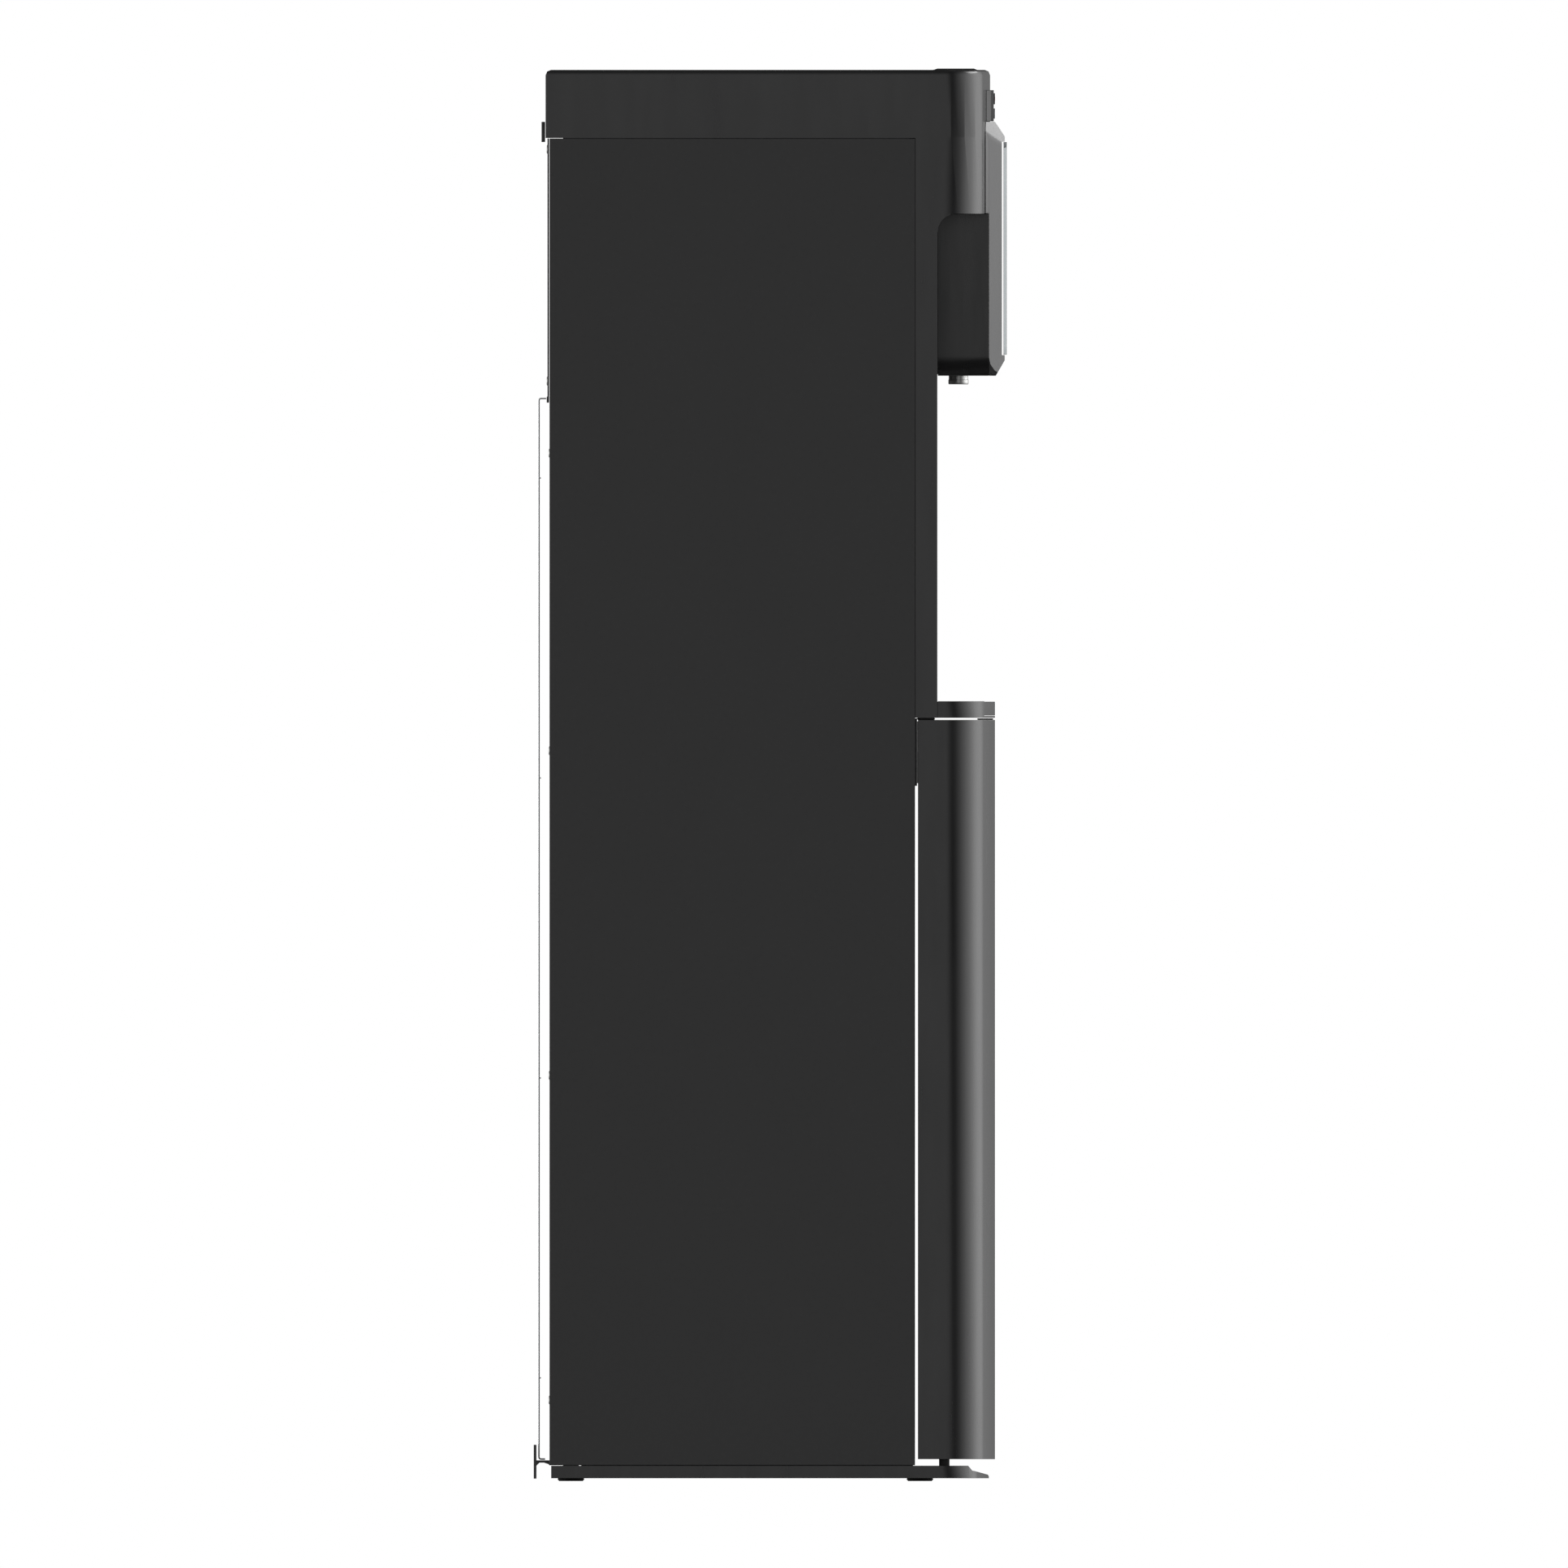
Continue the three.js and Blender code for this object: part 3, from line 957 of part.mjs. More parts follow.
function dripGrille() {
  const half = TRAY_WIDTH / 2 - TRAY_WALL - GRILLE_GAP;
  const rearY = ALCOVE_Y - TRAY_REAR_GAP - TRAY_WALL - GRILLE_GAP;
  const z1 = TIER_TOP - FIT;
  const z0 = z1 - GRILLE_THICKNESS;
  const plate = common(
    block(-half, half, DOOR_FRONT_Y - 2, rearY, z0, z1),
    upright(plan(0, DOOR_FRONT_Y, DOOR_BOW_RISE, -TRAY_WALL - GRILLE_GAP), z0 - 1, z1 + 1));
  const pitch = (2 * half - 2 * GRILLE_SIDE_MARGIN) / GRILLE_SLOTS;
  const slots = Array.from({ length: GRILLE_SLOTS }, (_, i) => {
    const x = (i - (GRILLE_SLOTS - 1) / 2) * pitch;
    return block(x - SLOT_WIDTH / 2, x + SLOT_WIDTH / 2, DOOR_FRONT_Y + GRILLE_FRONT_MARGIN,
      rearY - GRILLE_SIDE_MARGIN, z0 - 1, z1 + 1);
  });
  return cut(plate, ...slots);
}

// ---------- door ----------

function doorShell() {
  const shell = cut(
    upright(plan(DOOR_REAR_Y, DOOR_FRONT_Y, DOOR_BOW_RISE), DOOR_BOTTOM, DOOR_TOP),
    upright(plan(DOOR_REAR_Y + 1, DOOR_FRONT_Y, DOOR_BOW_RISE, -DOOR_WALL),
      DOOR_BOTTOM + DOOR_WALL, DOOR_TOP - DOOR_WALL));
  const lowerRadius = LOWER_PIN_DIAMETER / 2 + PIN_CLEARANCE;
  const upperRadius = UPPER_PIN_DIAMETER / 2 + PIN_CLEARANCE;
  const lowerBoss = cylinder(HINGE_X, HINGE_Y, HINGE_SIDE_INSET - 1,
    DOOR_BOTTOM + 1, DOOR_BOTTOM + HINGE_BOSS_HEIGHT, 20);
  const upperBoss = cylinder(HINGE_X, HINGE_Y, HINGE_SIDE_INSET - 1,
    ARM_Z + ARM_THICKNESS + 1, DOOR_TOP - 1, 20);
  const magnetPost = common(
    block(MAGNET_X - MAGNET_POST_WIDTH / 2, MAGNET_X + MAGNET_POST_WIDTH / 2,
      DOOR_FRONT_Y, MAGNET_FRONT_Y - FIT,
      MAGNET_Z - MAGNET_HEIGHT / 2 - 1, MAGNET_Z + MAGNET_HEIGHT / 2 + 1),
    upright(plan(0, DOOR_FRONT_Y, DOOR_BOW_RISE, -1), DOOR_BOTTOM, DOOR_TOP));
  return cut(
    join(shell, lowerBoss, upperBoss, magnetPost),
    cylinder(HINGE_X, HINGE_Y, lowerRadius, DOOR_BOTTOM - 1, DOOR_BOTTOM + PIN_HOLE_DEPTH, 20),
    cylinder(HINGE_X, HINGE_Y, upperRadius, ARM_Z + ARM_THICKNESS,
      DOOR_TOP - DOOR_WALL - 1, 20),
    block(HALF - GRIP_DEPTH - FIT, HALF + 1, GRIP_FRONT_Y - FIT, GRIP_REAR_Y + FIT,
      GRIP_BOTTOM - FIT, GRIP_TOP + FIT));
}

/** Inner skin of the door, flat behind the bottle. */
function doorLiner() {
  const y = DOOR_FRONT_Y + LINER_STANDOFF;
  return common(
    block(-HALF, HALF, y - DOOR_LINER_SKIN, y, DOOR_BOTTOM + DOOR_LINER_RISE, RAIL_BOTTOM - DOOR_LINER_DROP),
    upright(plan(0, DOOR_FRONT_Y, DOOR_BOW_RISE, -DOOR_WALL - FIT), DOOR_BOTTOM, DOOR_TOP));
}

/** Finger cup let into the free edge of the door, its rim following the door's round corner. */
function doorGrip() {
  const cup = block(HALF - GRIP_DEPTH, HALF + 1, GRIP_FRONT_Y, GRIP_REAR_Y, GRIP_BOTTOM, GRIP_TOP);
  const cavity = block(HALF - GRIP_DEPTH + GRIP_WALL, HALF + 1, GRIP_FRONT_Y + GRIP_WALL,
    GRIP_REAR_Y - GRIP_WALL, GRIP_BOTTOM + GRIP_WALL, GRIP_TOP - GRIP_WALL);
  const doorVolume = upright(
    plan(DOOR_REAR_Y, DOOR_FRONT_Y, DOOR_BOW_RISE, -GRIP_RIM_INSET), DOOR_BOTTOM, DOOR_TOP);
  return cut(common(cup, doorVolume), cavity);
}

function doorMagnet() {
  return block(MAGNET_X - MAGNET_WIDTH / 2, MAGNET_X + MAGNET_WIDTH / 2,
    MAGNET_FRONT_Y, MAGNET_FRONT_Y + MAGNET_THICKNESS,
    MAGNET_Z - MAGNET_HEIGHT / 2, MAGNET_Z + MAGNET_HEIGHT / 2);
}

function hingePinLower() {
  const radius = LOWER_PIN_DIAMETER / 2;
  const flangeTop = BASE_TOP - MOULDED_WALL - FIT;
  return turned([
    [0, flangeTop - PIN_HEAD_DEPTH], [radius, flangeTop - PIN_HEAD_DEPTH],
    [radius, DOOR_BOTTOM + PIN_RISE - PIN_CHAMFER], [radius - PIN_CHAMFER, DOOR_BOTTOM + PIN_RISE],
    [0, DOOR_BOTTOM + PIN_RISE],
  ], 20).translate(HINGE_X, HINGE_Y, 0);
}

/** Arm on the front of the cross rail that carries the upper pin inside the door. */
function hingeArmUpper() {
  const railFront = RAIL_FRONT_Y - FIT;
  const rootX = HINGE_X + DOOR_SWEEP + ARM_ROOT.clearance;
  const half = ARM_WIDTH / 2;
  return join(
    block(rootX, rootX + ARM_PLATE.width, railFront - ARM_PLATE.thickness, railFront,
      ARM_Z - ARM_PLATE.below, ARM_Z + ARM_PLATE.above),
    block(rootX, rootX + ARM_ROOT.width, HINGE_Y - half, railFront - 1, ARM_Z, ARM_Z + ARM_THICKNESS),
    block(HINGE_X - half, rootX + 1, HINGE_Y - half, HINGE_Y + half, ARM_Z, ARM_Z + ARM_THICKNESS),
    cylinder(HINGE_X, HINGE_Y, UPPER_PIN_DIAMETER / 2, ARM_Z + 1, DOOR_TOP - DOOR_WALL - 2, 16));
}

// ---------- bottle probe ----------

function probe() {
  const tube = PROBE_DIAMETER / 2;
  const collar = COLLAR_DIAMETER / 2;
  const z = HANGER_Z + FIT;
  return turned([
    [0, PROBE_TIP_Z], [tube - PROBE_TIP_TAPER.width, PROBE_TIP_Z],
    [tube, PROBE_TIP_Z + PROBE_TIP_TAPER.height], [tube, z],
    [collar - COLLAR_EDGE, z], [collar, z + COLLAR_EDGE], [collar, z + COLLAR_HEIGHT - COLLAR_SHOULDER],
    [collar - COLLAR_SHOULDER, z + COLLAR_HEIGHT - COLLAR_EDGE], [HOSE_DIAMETER, z + COLLAR_HEIGHT],
    [0, z + COLLAR_HEIGHT],
  ], 20).translate(PROBE_X, PROBE_Y, 0);
}

function probeHose() {
  const z = HANGER_Z + FIT + COLLAR_HEIGHT + FIT;
  return cylinder(PROBE_X, PROBE_Y, HOSE_DIAMETER / 2, z, SHELF_Z + HOSE_TAIL, 10);
}

/** Forked clip on the bay wall that the probe's collar rests on. */
function probeHanger() {
  const wallX = -HALF + BAY_SIDE_GAP + LINER_WALL + FIT;
  const slot = PROBE_DIAMETER / 2 + 2 * FIT;
  const reach = COLLAR_DIAMETER / 4;
  const bottom = HANGER_Z - HANGER_THICKNESS;
  return cut(
    block(wallX, PROBE_X + reach, PROBE_Y - reach, PROBE_Y + reach, bottom, HANGER_Z),
    block(PROBE_X, PROBE_X + reach + 1, PROBE_Y - slot, PROBE_Y + slot, bottom - 1, HANGER_Z + 1),
    cylinder(PROBE_X, PROBE_Y, slot, bottom - 1, HANGER_Z + 1));
}

// ---------- cooling and water system ----------

function compressor() {
  const r = COMPRESSOR_DIAMETER / 2;
  const shelfTop = SHELF_Z + LINER_WALL;
  const z = shelfTop + COMPRESSOR_FEET.clearance;
  const can = turned([
    [0, z], [r - 8, z], [r, z + 10], [r, z + COMPRESSOR_HEIGHT * 0.55],
    [r - 6, z + COMPRESSOR_HEIGHT * 0.75], [r - 24, z + COMPRESSOR_HEIGHT * 0.93],
    [12, z + COMPRESSOR_HEIGHT], [0, z + COMPRESSOR_HEIGHT],
  ], 20).translate(COMPRESSOR_X, COMPRESSOR_Y, 0);
  const plate = block(
    COMPRESSOR_X - r - COMPRESSOR_PLATE.reach, COMPRESSOR_X + r + COMPRESSOR_PLATE.reach,
    COMPRESSOR_Y - COMPRESSOR_PLATE.halfDepth, COMPRESSOR_Y + COMPRESSOR_PLATE.halfDepth,
    z - COMPRESSOR_PLATE.below, z + COMPRESSOR_PLATE.above);
  const mounts = [[-1, -1], [1, -1], [-1, 1], [1, 1]].map(([sx, sy]) => cylinder(
    COMPRESSOR_X + sx * (r - COMPRESSOR_FEET.inset), COMPRESSOR_Y + sy * COMPRESSOR_FEET.spread,
    COMPRESSOR_FEET.radius, shelfTop + FIT, z - 1, 10));
  const terminalBox = block(COMPRESSOR_X - r - TERMINAL_BOX.reach, COMPRESSOR_X - r + 8,
    COMPRESSOR_Y - TERMINAL_BOX.halfWidth, COMPRESSOR_Y + TERMINAL_BOX.halfWidth,
    z + TERMINAL_BOX.rise, z + TERMINAL_BOX.rise + TERMINAL_BOX.height);
  return join(can, plate, terminalBox, ...mounts);
}

/** Serpentine tube in the recess of the back: level passes joined by short uprights. */
function condenser() {
  const half = HALF - CONDENSER_SIDE_INSET;
  const t = CONDENSER_TUBE;
  const z0 = SERVICE_Z + CONDENSER_RISE;
  const pitch = (BACK_SPLIT - CONDENSER_DROP - z0) / (CONDENSER_PASSES - 1);
  const y = RECESS_Y + CONDENSER_STANDOFF;
  const passes = Array.from({ length: CONDENSER_PASSES }, (_, i) => block(
    -half, half, y, y + t, z0 + i * pitch, z0 + i * pitch + t));
  const links = Array.from({ length: CONDENSER_PASSES - 1 }, (_, i) => {
    const x = i % 2 ? -half : half - t;
    return block(x, x + t, y, y + t, z0 + i * pitch, z0 + (i + 1) * pitch + t);
  });
  return join(...passes, ...links);
}

/** Wire grille off the back: it stands on the spacers' arms and its turned-in tips meet the hem above. */
function rearGuard() {
  const outer = REAR_Y + GUARD_STANDOFF + WIRE;
  const inner = outer - WIRE;
  const tipY = REAR_Y + FIT + SHEET + HEM_PROUD + FIT;
  const footY = inner - GUARD_FOOT_REACH;
  const z0 = SPACER_ARM_Z + SPACER_ARM_THICKNESS / 2 + FIT;
  const z1 = BACK_SPLIT + HEM_HEIGHT - FIT;
  const profile = [
    [outer, z0], [outer, z1], [tipY, z1], [tipY, z1 - WIRE], [inner, z1 - WIRE],
    [inner, z0 + WIRE], [footY, z0 + WIRE], [footY, z0],
  ];
  const half = HALF - GUARD_SIDE_INSET;
  const wires = Array.from({ length: GUARD_WIRES }, (_, i) => {
    const x = -half + (i * (2 * half - WIRE)) / (GUARD_WIRES - 1);
    return across(profile, x, x + WIRE);
  });
  const rungPitch = (z1 - z0 - 2 * GUARD_END_MARGIN) / (GUARD_RUNGS - 1);
  const rungs = Array.from({ length: GUARD_RUNGS }, (_, i) => {
    const z = z0 + GUARD_END_MARGIN + i * rungPitch;
    return block(-half, half, inner - WIRE + WELD_OVERLAP, inner + WELD_OVERLAP, z, z + WIRE);
  });
  return join(...wires, ...rungs);
}

function coldTankFoam() {
  const z = TANK_SHELF_Z + LINER_WALL + FIT;
  return cut(
    block(COLD_X - FOAM_REACH, COLD_X + FOAM_REACH, COLD_Y - FOAM_REACH, COLD_Y + FOAM_REACH,
      z, z + COLD_TANK_HEIGHT + FOAM_WALL),
    cylinder(COLD_X, COLD_Y, COLD_TANK_DIAMETER / 2 + 2 * FIT, z + FOAM_WALL,
      z + COLD_TANK_HEIGHT + FOAM_WALL + 1, 24));
}

/** Upright vessel with a domed shoulder and a bored neck, hollow inside. */
function vessel(radius, height, z, sides) {
  const wall = TANK_WALL;
  const top = z + height;
  const round = TANK_FOOT_ROUND;
  const shoulderRadius = radius - TANK_SHOULDER.reach;
  const neckTop = top + TANK_NECK.height;
  return turned([
    [0, z], [radius - round, z], [radius, z + round], [radius, top - TANK_SHOULDER.height],
    [shoulderRadius, top], [TANK_NECK.radius, top + TANK_NECK.rise], [TANK_NECK.radius, neckTop],
    [TANK_NECK.bore, neckTop], [TANK_NECK.bore, top + TANK_NECK.rise - 2 * wall],
    [shoulderRadius, top - wall], [radius - wall, top - TANK_SHOULDER.height - wall],
    [radius - wall, z + round + wall], [radius - round - wall, z + wall], [0, z + wall],
  ], sides);
}

function coldTank() {
  const z = TANK_SHELF_Z + LINER_WALL + FIT + FOAM_WALL + FIT;
  return vessel(COLD_TANK_DIAMETER / 2, COLD_TANK_HEIGHT, z, 24).translate(COLD_X, COLD_Y, 0);
}

function hotTank() {
  const z = TANK_SHELF_Z + LINER_WALL + FIT;
  const x = -HALF + SHEET + HOT_TANK_SIDE_GAP + HOT_TANK_DIAMETER / 2;
  return vessel(HOT_TANK_DIAMETER / 2, HOT_TANK_HEIGHT, z, 20).translate(x, COLD_Y + HOT_TANK_SET_BACK, 0);
}

/** Diaphragm pump on its foot plate, lying on the lower shelf. */
function pump() {
  const z = SHELF_Z + LINER_WALL + FIT;
  const x = PROBE_X + PUMP_FROM_HOSE;
  const y = SHELF_FRONT_Y + PUMP_SETBACK;
  const { radius, length, headRadius, headEnd, taper, axisRise } = PUMP_MOTOR;
  const motor = turned([
    [0, 0], [radius, 0], [radius, length], [headRadius, length + taper], [headRadius, headEnd],
    [0, headEnd],
  ]).rotateX(-Math.PI / 2).translate(x, y, z + axisRise);
  const plate = block(x - PUMP_PLATE.halfWidth, x + PUMP_PLATE.halfWidth,
    y + PUMP_PLATE.front, y + PUMP_PLATE.rear, z, z + PUMP_PLATE.thickness);
  const saddle = block(x - PUMP_SADDLE.halfWidth, x + PUMP_SADDLE.halfWidth,
    y + PUMP_SADDLE.front, y + PUMP_SADDLE.rear, z + 1, z + PUMP_SADDLE.height);
  return join(motor, plate, saddle);
}

/** Three solenoid valves on one manifold, above the nozzles. */
function valveBlock() {
  const z = SPOUT_BOTTOM + VALVE_RISE;
  const barTop = z + VALVE_BAR.height;
  const bar = block(-NOZZLE_PITCH - VALVE_BAR.reach, NOZZLE_PITCH + VALVE_BAR.reach,
    NOZZLE_Y - VALVE_BAR.halfDepth, NOZZLE_Y + VALVE_BAR.halfDepth, z, barTop);
  const coils = nozzlePlaces().map(([, x]) => cylinder(
    x, NOZZLE_Y, VALVE_COIL.radius, barTop - 1, z + VALVE_COIL.height, 12));
  const spigotFoot = SPOUT_BOTTOM + SPOUT_WALL + FIT + NOZZLE_TAIL + FIT;
  const spigots = nozzlePlaces().map(([, x]) => cylinder(
    x, NOZZLE_Y, VALVE_SPIGOT_RADIUS, spigotFoot, z + 1, 10));
  return join(bar, ...coils, ...spigots);
}

// ---------- rear fittings ----------

function switchPlate() {
  const rearY = REAR_Y - SHEET - FIT;
  const halfWidth = ROCKER_WIDTH / 2 + ROCKER_GAP;
  const halfHeight = ROCKER_HEIGHT / 2 + ROCKER_GAP;
  const windows = rockerPlaces().map(([, x]) => block(
    x - halfWidth, x + halfWidth, rearY - SWITCH_PLATE_THICKNESS - 1, rearY + 1,
    SWITCH_Z - halfHeight, SWITCH_Z + halfHeight));
  return cut(
    block(SWITCH_X - SWITCH_PLATE_HALF_WIDTH, SWITCH_X + SWITCH_PLATE_HALF_WIDTH,
      rearY - SWITCH_PLATE_THICKNESS, rearY,
      SWITCH_Z - SWITCH_PLATE_HALF_HEIGHT, SWITCH_Z + SWITCH_PLATE_HALF_HEIGHT),
    ...windows);
}

function rockerPlaces() {
  return [
    ['rocker_hot', SWITCH_X - ROCKER_PITCH, HOT_RED],
    ['rocker_cold', SWITCH_X, COLD_BLUE],
    ['rocker_light', SWITCH_X + ROCKER_PITCH, LIGHT_TRIM],
  ];
}

/** Rocker about its own pivot: a shallow V face with a round back. */
function rocker() {
  const half = ROCKER_HEIGHT / 2;
  const { tip, middle, tipInset } = ROCKER_FACE;
  const { radius, centre, shoulder, shoulderInset } = ROCKER_BACK;
  return across([
    [tip, -half + tipInset], [middle, 0], [tip, half - tipInset], [shoulder, half - shoulderInset],
    ...arc(-centre, 0, radius, 0.3 * Math.PI, 1.7 * Math.PI, 6),
    [shoulder, -half + shoulderInset],
  ], -ROCKER_WIDTH / 2, ROCKER_WIDTH / 2);
}

function rearGrip() {
  const y = COVER_REAR_Y + FIT;
  return block(-REAR_GRIP.width / 2, REAR_GRIP.width / 2, y, y + REAR_GRIP.thickness,
    SEAM - REAR_GRIP.below, SEAM + REAR_GRIP.above);
}

/** Cable gland in the recess; its bore faces the rear. */
function powerInlet() {
  const r = INLET_DIAMETER / 2;
  const bore = INLET.bore / 2;
  const nut = r + INLET.nutReach;
  return turned([
    [bore, 0], [r, 0], [r, INLET.back], [nut, INLET.back], [nut, INLET.nutTop],
    [r - INLET.taper, INLET.length], [bore, INLET.length], [bore, 0],
  ]).rotateX(-Math.PI / 2).translate(SERVICE_X, RECESS_Y - INLET.back + FIT, SERVICE_Z);
}

function drainPipe() {
  const r = DRAIN_PIPE_DIAMETER / 2;
  const bore = DRAIN_BORE / 2;
  const length = RECESS_Y - BAY_REAR_Y + DRAIN_REACH;
  return turned([[bore, 0], [r, 0], [r, length], [bore, length], [bore, 0]])
    .rotateX(-Math.PI / 2).translate(-SERVICE_X, BAY_REAR_Y + FIT, SERVICE_Z);
}

/** Screw cap over the drain pipe, about its own axis. */
function drainCap() {
  const inner = DRAIN_PIPE_DIAMETER / 2 + CAP.clearance;
  const outer = inner + CAP.wall;
  return turned([
    [inner, 0], [outer, 0], [outer, CAP.height - CAP.chamfer], [outer - CAP.chamfer, CAP.height],
    [0, CAP.height], [0, CAP.depth], [inner, CAP.depth], [inner, 0],
  ], 12).rotateX(-Math.PI / 2);
}

// ---------- assembly ----------

const cabinet = new THREE.Group();
dispenser.add(cabinet);
add(cabinet, 'base_pan', basePan(), CHARCOAL);
for (const [name, x, y] of footPlaces()) add(cabinet, name, foot(), RUBBER, [x, y, 0]);
add(cabinet, 'side_panel_left', sidePanel(-1), CHARCOAL_STEEL);
add(cabinet, 'side_panel_right', sidePanel(1), CHARCOAL_STEEL);
add(cabinet, 'back_panel_upper', backPanelUpper(), CHARCOAL_STEEL);
add(cabinet, 'back_panel_lower', backPanelLower(), CHARCOAL_STEEL);
add(cabinet, 'bay_liner', bayLiner(), LINER_GREY);
add(cabinet, 'bay_floor', bayFloor(), LINER_GREY);
add(cabinet, 'cross_rail', crossRail(), BLACK_PLASTIC);
add(cabinet, 'partition_shelf', shelf(SHELF_Z, [hoseHole(SHELF_Z)]), GALVANISED);
add(cabinet, 'tank_shelf', shelf(TANK_SHELF_Z, []), GALVANISED);
const spacerX = HALF - SPACER_INSET;
add(cabinet, 'wall_spacer_left', wallSpacer(), BLACK_PLASTIC, [-spacerX, 0, 0]);
add(cabinet, 'wall_spacer_right', wallSpacer(), BLACK_PLASTIC, [spacerX, 0, 0]);
add(cabinet, 'rear_grip', rearGrip(), BLACK_PLASTIC);

const head = new THREE.Group();
dispenser.add(head);
add(head, 'upper_housing', upperHousing(), CHARCOAL);
add(head, 'drip_ledge', dripLedge(), CHARCOAL);
add(head, 'splash_panel', splashPanel(), CHARCOAL);
add(head, 'spout_housing', spoutHousing(), BLACK_PLASTIC);
add(head, 'head_shield', headShield(), CHARCOAL);
add(head, 'display_glass', displayGlass(), CLEAR_GLASS);
add(head, 'night_light_lens', nightLightLens(), LIGHT_TRIM);
add(head, 'button_bezel', buttonBezel(), GLOSS_BLACK);
add(head, 'indicator_bar', indicatorBar(), LIGHT_TRIM);
add(head, 'control_board', controlBoard(), BOARD_GREEN);
add(head, 'valve_block', valveBlock(), BLACK_PLASTIC);
for (const [name, x] of nozzlePlaces()) {
  add(head, name, nozzle(), STAINLESS, [x, NOZZLE_Y, SPOUT_BOTTOM - NOZZLE_DROP]);
}
for (const [name, x, width] of buttonPlaces()) {
  add(head, name, pushButton(width), BUTTON_GREY, [x, BUTTON_FRONT_Y, BUTTON_ROW_Z]);
}

const tray = new THREE.Group();
dispenser.add(tray);
add(tray, 'drip_tray', dripTray(), BLACK_PLASTIC);
add(tray, 'drip_grille', dripGrille(), STAINLESS);

const door = new THREE.Group();
dispenser.add(door);
add(door, 'door_shell', doorShell(), CHARCOAL);
add(door, 'door_liner', doorLiner(), LINER_GREY);
add(door, 'door_grip', doorGrip(), BLACK_PLASTIC);
add(door, 'door_magnet', doorMagnet(), BLACK_PLASTIC);
add(cabinet, 'hinge_pin_lower', hingePinLower(), STAINLESS);
add(cabinet, 'hinge_arm_upper', hingeArmUpper(), STAINLESS);

const bottleFeed = new THREE.Group();
dispenser.add(bottleFeed);
add(bottleFeed, 'probe', probe(), LIGHT_TRIM);
add(bottleFeed, 'probe_hose', probeHose(), SILICONE);
add(cabinet, 'probe_hanger', probeHanger(), LINER_GREY);

const works = new THREE.Group();
dispenser.add(works);
add(works, 'compressor', compressor(), GLOSS_BLACK);
add(works, 'condenser', condenser(), GLOSS_BLACK);
add(works, 'rear_guard', rearGuard(), GALVANISED);
add(works, 'cold_tank_foam', coldTankFoam(), WHITE_FOAM);
add(works, 'cold_tank', coldTank(), STAINLESS);
add(works, 'hot_tank', hotTank(), STAINLESS);
add(works, 'pump', pump(), BLACK_PLASTIC);

add(works, 'switch_plate', switchPlate(), BLACK_PLASTIC);
for (const [name, x, colour] of rockerPlaces()) {
  add(works, name, rocker(), colour, [x, REAR_Y - ROCKER_SETBACK, SWITCH_Z]);
}
add(works, 'power_inlet', powerInlet(), BLACK_PLASTIC);
add(works, 'drain_pipe', drainPipe(), STAINLESS);
add(works, 'drain_cap', drainCap(), RUBBER, [-SERVICE_X, RECESS_Y + 1, SERVICE_Z]);

export default dispenser;
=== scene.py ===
import json
import math

import bmesh
import bpy
from mathutils import Matrix, Vector


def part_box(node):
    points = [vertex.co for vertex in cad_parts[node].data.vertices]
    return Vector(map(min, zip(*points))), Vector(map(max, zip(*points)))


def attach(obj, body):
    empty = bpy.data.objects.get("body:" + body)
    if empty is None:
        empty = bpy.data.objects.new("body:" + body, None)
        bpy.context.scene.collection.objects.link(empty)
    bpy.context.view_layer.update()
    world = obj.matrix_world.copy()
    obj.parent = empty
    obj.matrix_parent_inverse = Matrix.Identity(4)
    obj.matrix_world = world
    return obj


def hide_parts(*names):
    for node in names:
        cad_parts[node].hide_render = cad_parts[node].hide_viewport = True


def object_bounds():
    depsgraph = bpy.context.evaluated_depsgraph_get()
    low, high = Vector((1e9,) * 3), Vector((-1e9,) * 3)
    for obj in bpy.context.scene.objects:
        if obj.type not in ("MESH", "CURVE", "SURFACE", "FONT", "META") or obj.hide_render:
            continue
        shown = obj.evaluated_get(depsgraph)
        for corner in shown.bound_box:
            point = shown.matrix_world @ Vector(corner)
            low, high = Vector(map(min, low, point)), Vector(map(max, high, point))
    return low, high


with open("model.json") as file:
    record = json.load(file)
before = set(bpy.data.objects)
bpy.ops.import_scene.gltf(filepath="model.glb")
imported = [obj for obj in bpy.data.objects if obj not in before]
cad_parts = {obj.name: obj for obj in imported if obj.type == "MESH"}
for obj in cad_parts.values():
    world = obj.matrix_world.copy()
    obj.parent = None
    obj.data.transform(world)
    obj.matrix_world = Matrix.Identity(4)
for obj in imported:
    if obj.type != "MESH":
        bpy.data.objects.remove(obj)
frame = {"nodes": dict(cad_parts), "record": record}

# Bottom-loading water dispenser. Metres, +Z up, front towards -Y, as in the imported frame.

CAD_BOX = [list(corner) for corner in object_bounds()]
NODES = frame["nodes"]
SLOT_OF = {entry["node"]: entry["material_slot"] for entry in frame["record"]["subparts"]}
HEIGHT = CAD_BOX[1][2]
MM = 0.001
FULL_TURN = 2 * math.pi

# ---------- driving values ----------

# Condenser: passes of tube, and the fine wires across them
CONDENSER_PASSES = 16
CONDENSER_TUBE = 3.4 * MM
CONDENSER_WIRE = 0.7 * MM
CONDENSER_WIRES = 36
CONDENSER_BEND_STEPS = 8
CONDENSER_WIRE_BELOW = 2 * MM
CONDENSER_WIRE_ABOVE = 1 * MM

# Wire guard
GUARD_WIRES = 16
GUARD_RUNGS = 4
GUARD_WIRE = 1.2 * MM
GUARD_BEND = 1.5 * MM
GUARD_FOOT = 4 * MM
GUARD_WELD = 0.2 * MM
GUARD_END_MARGIN = 60 * MM

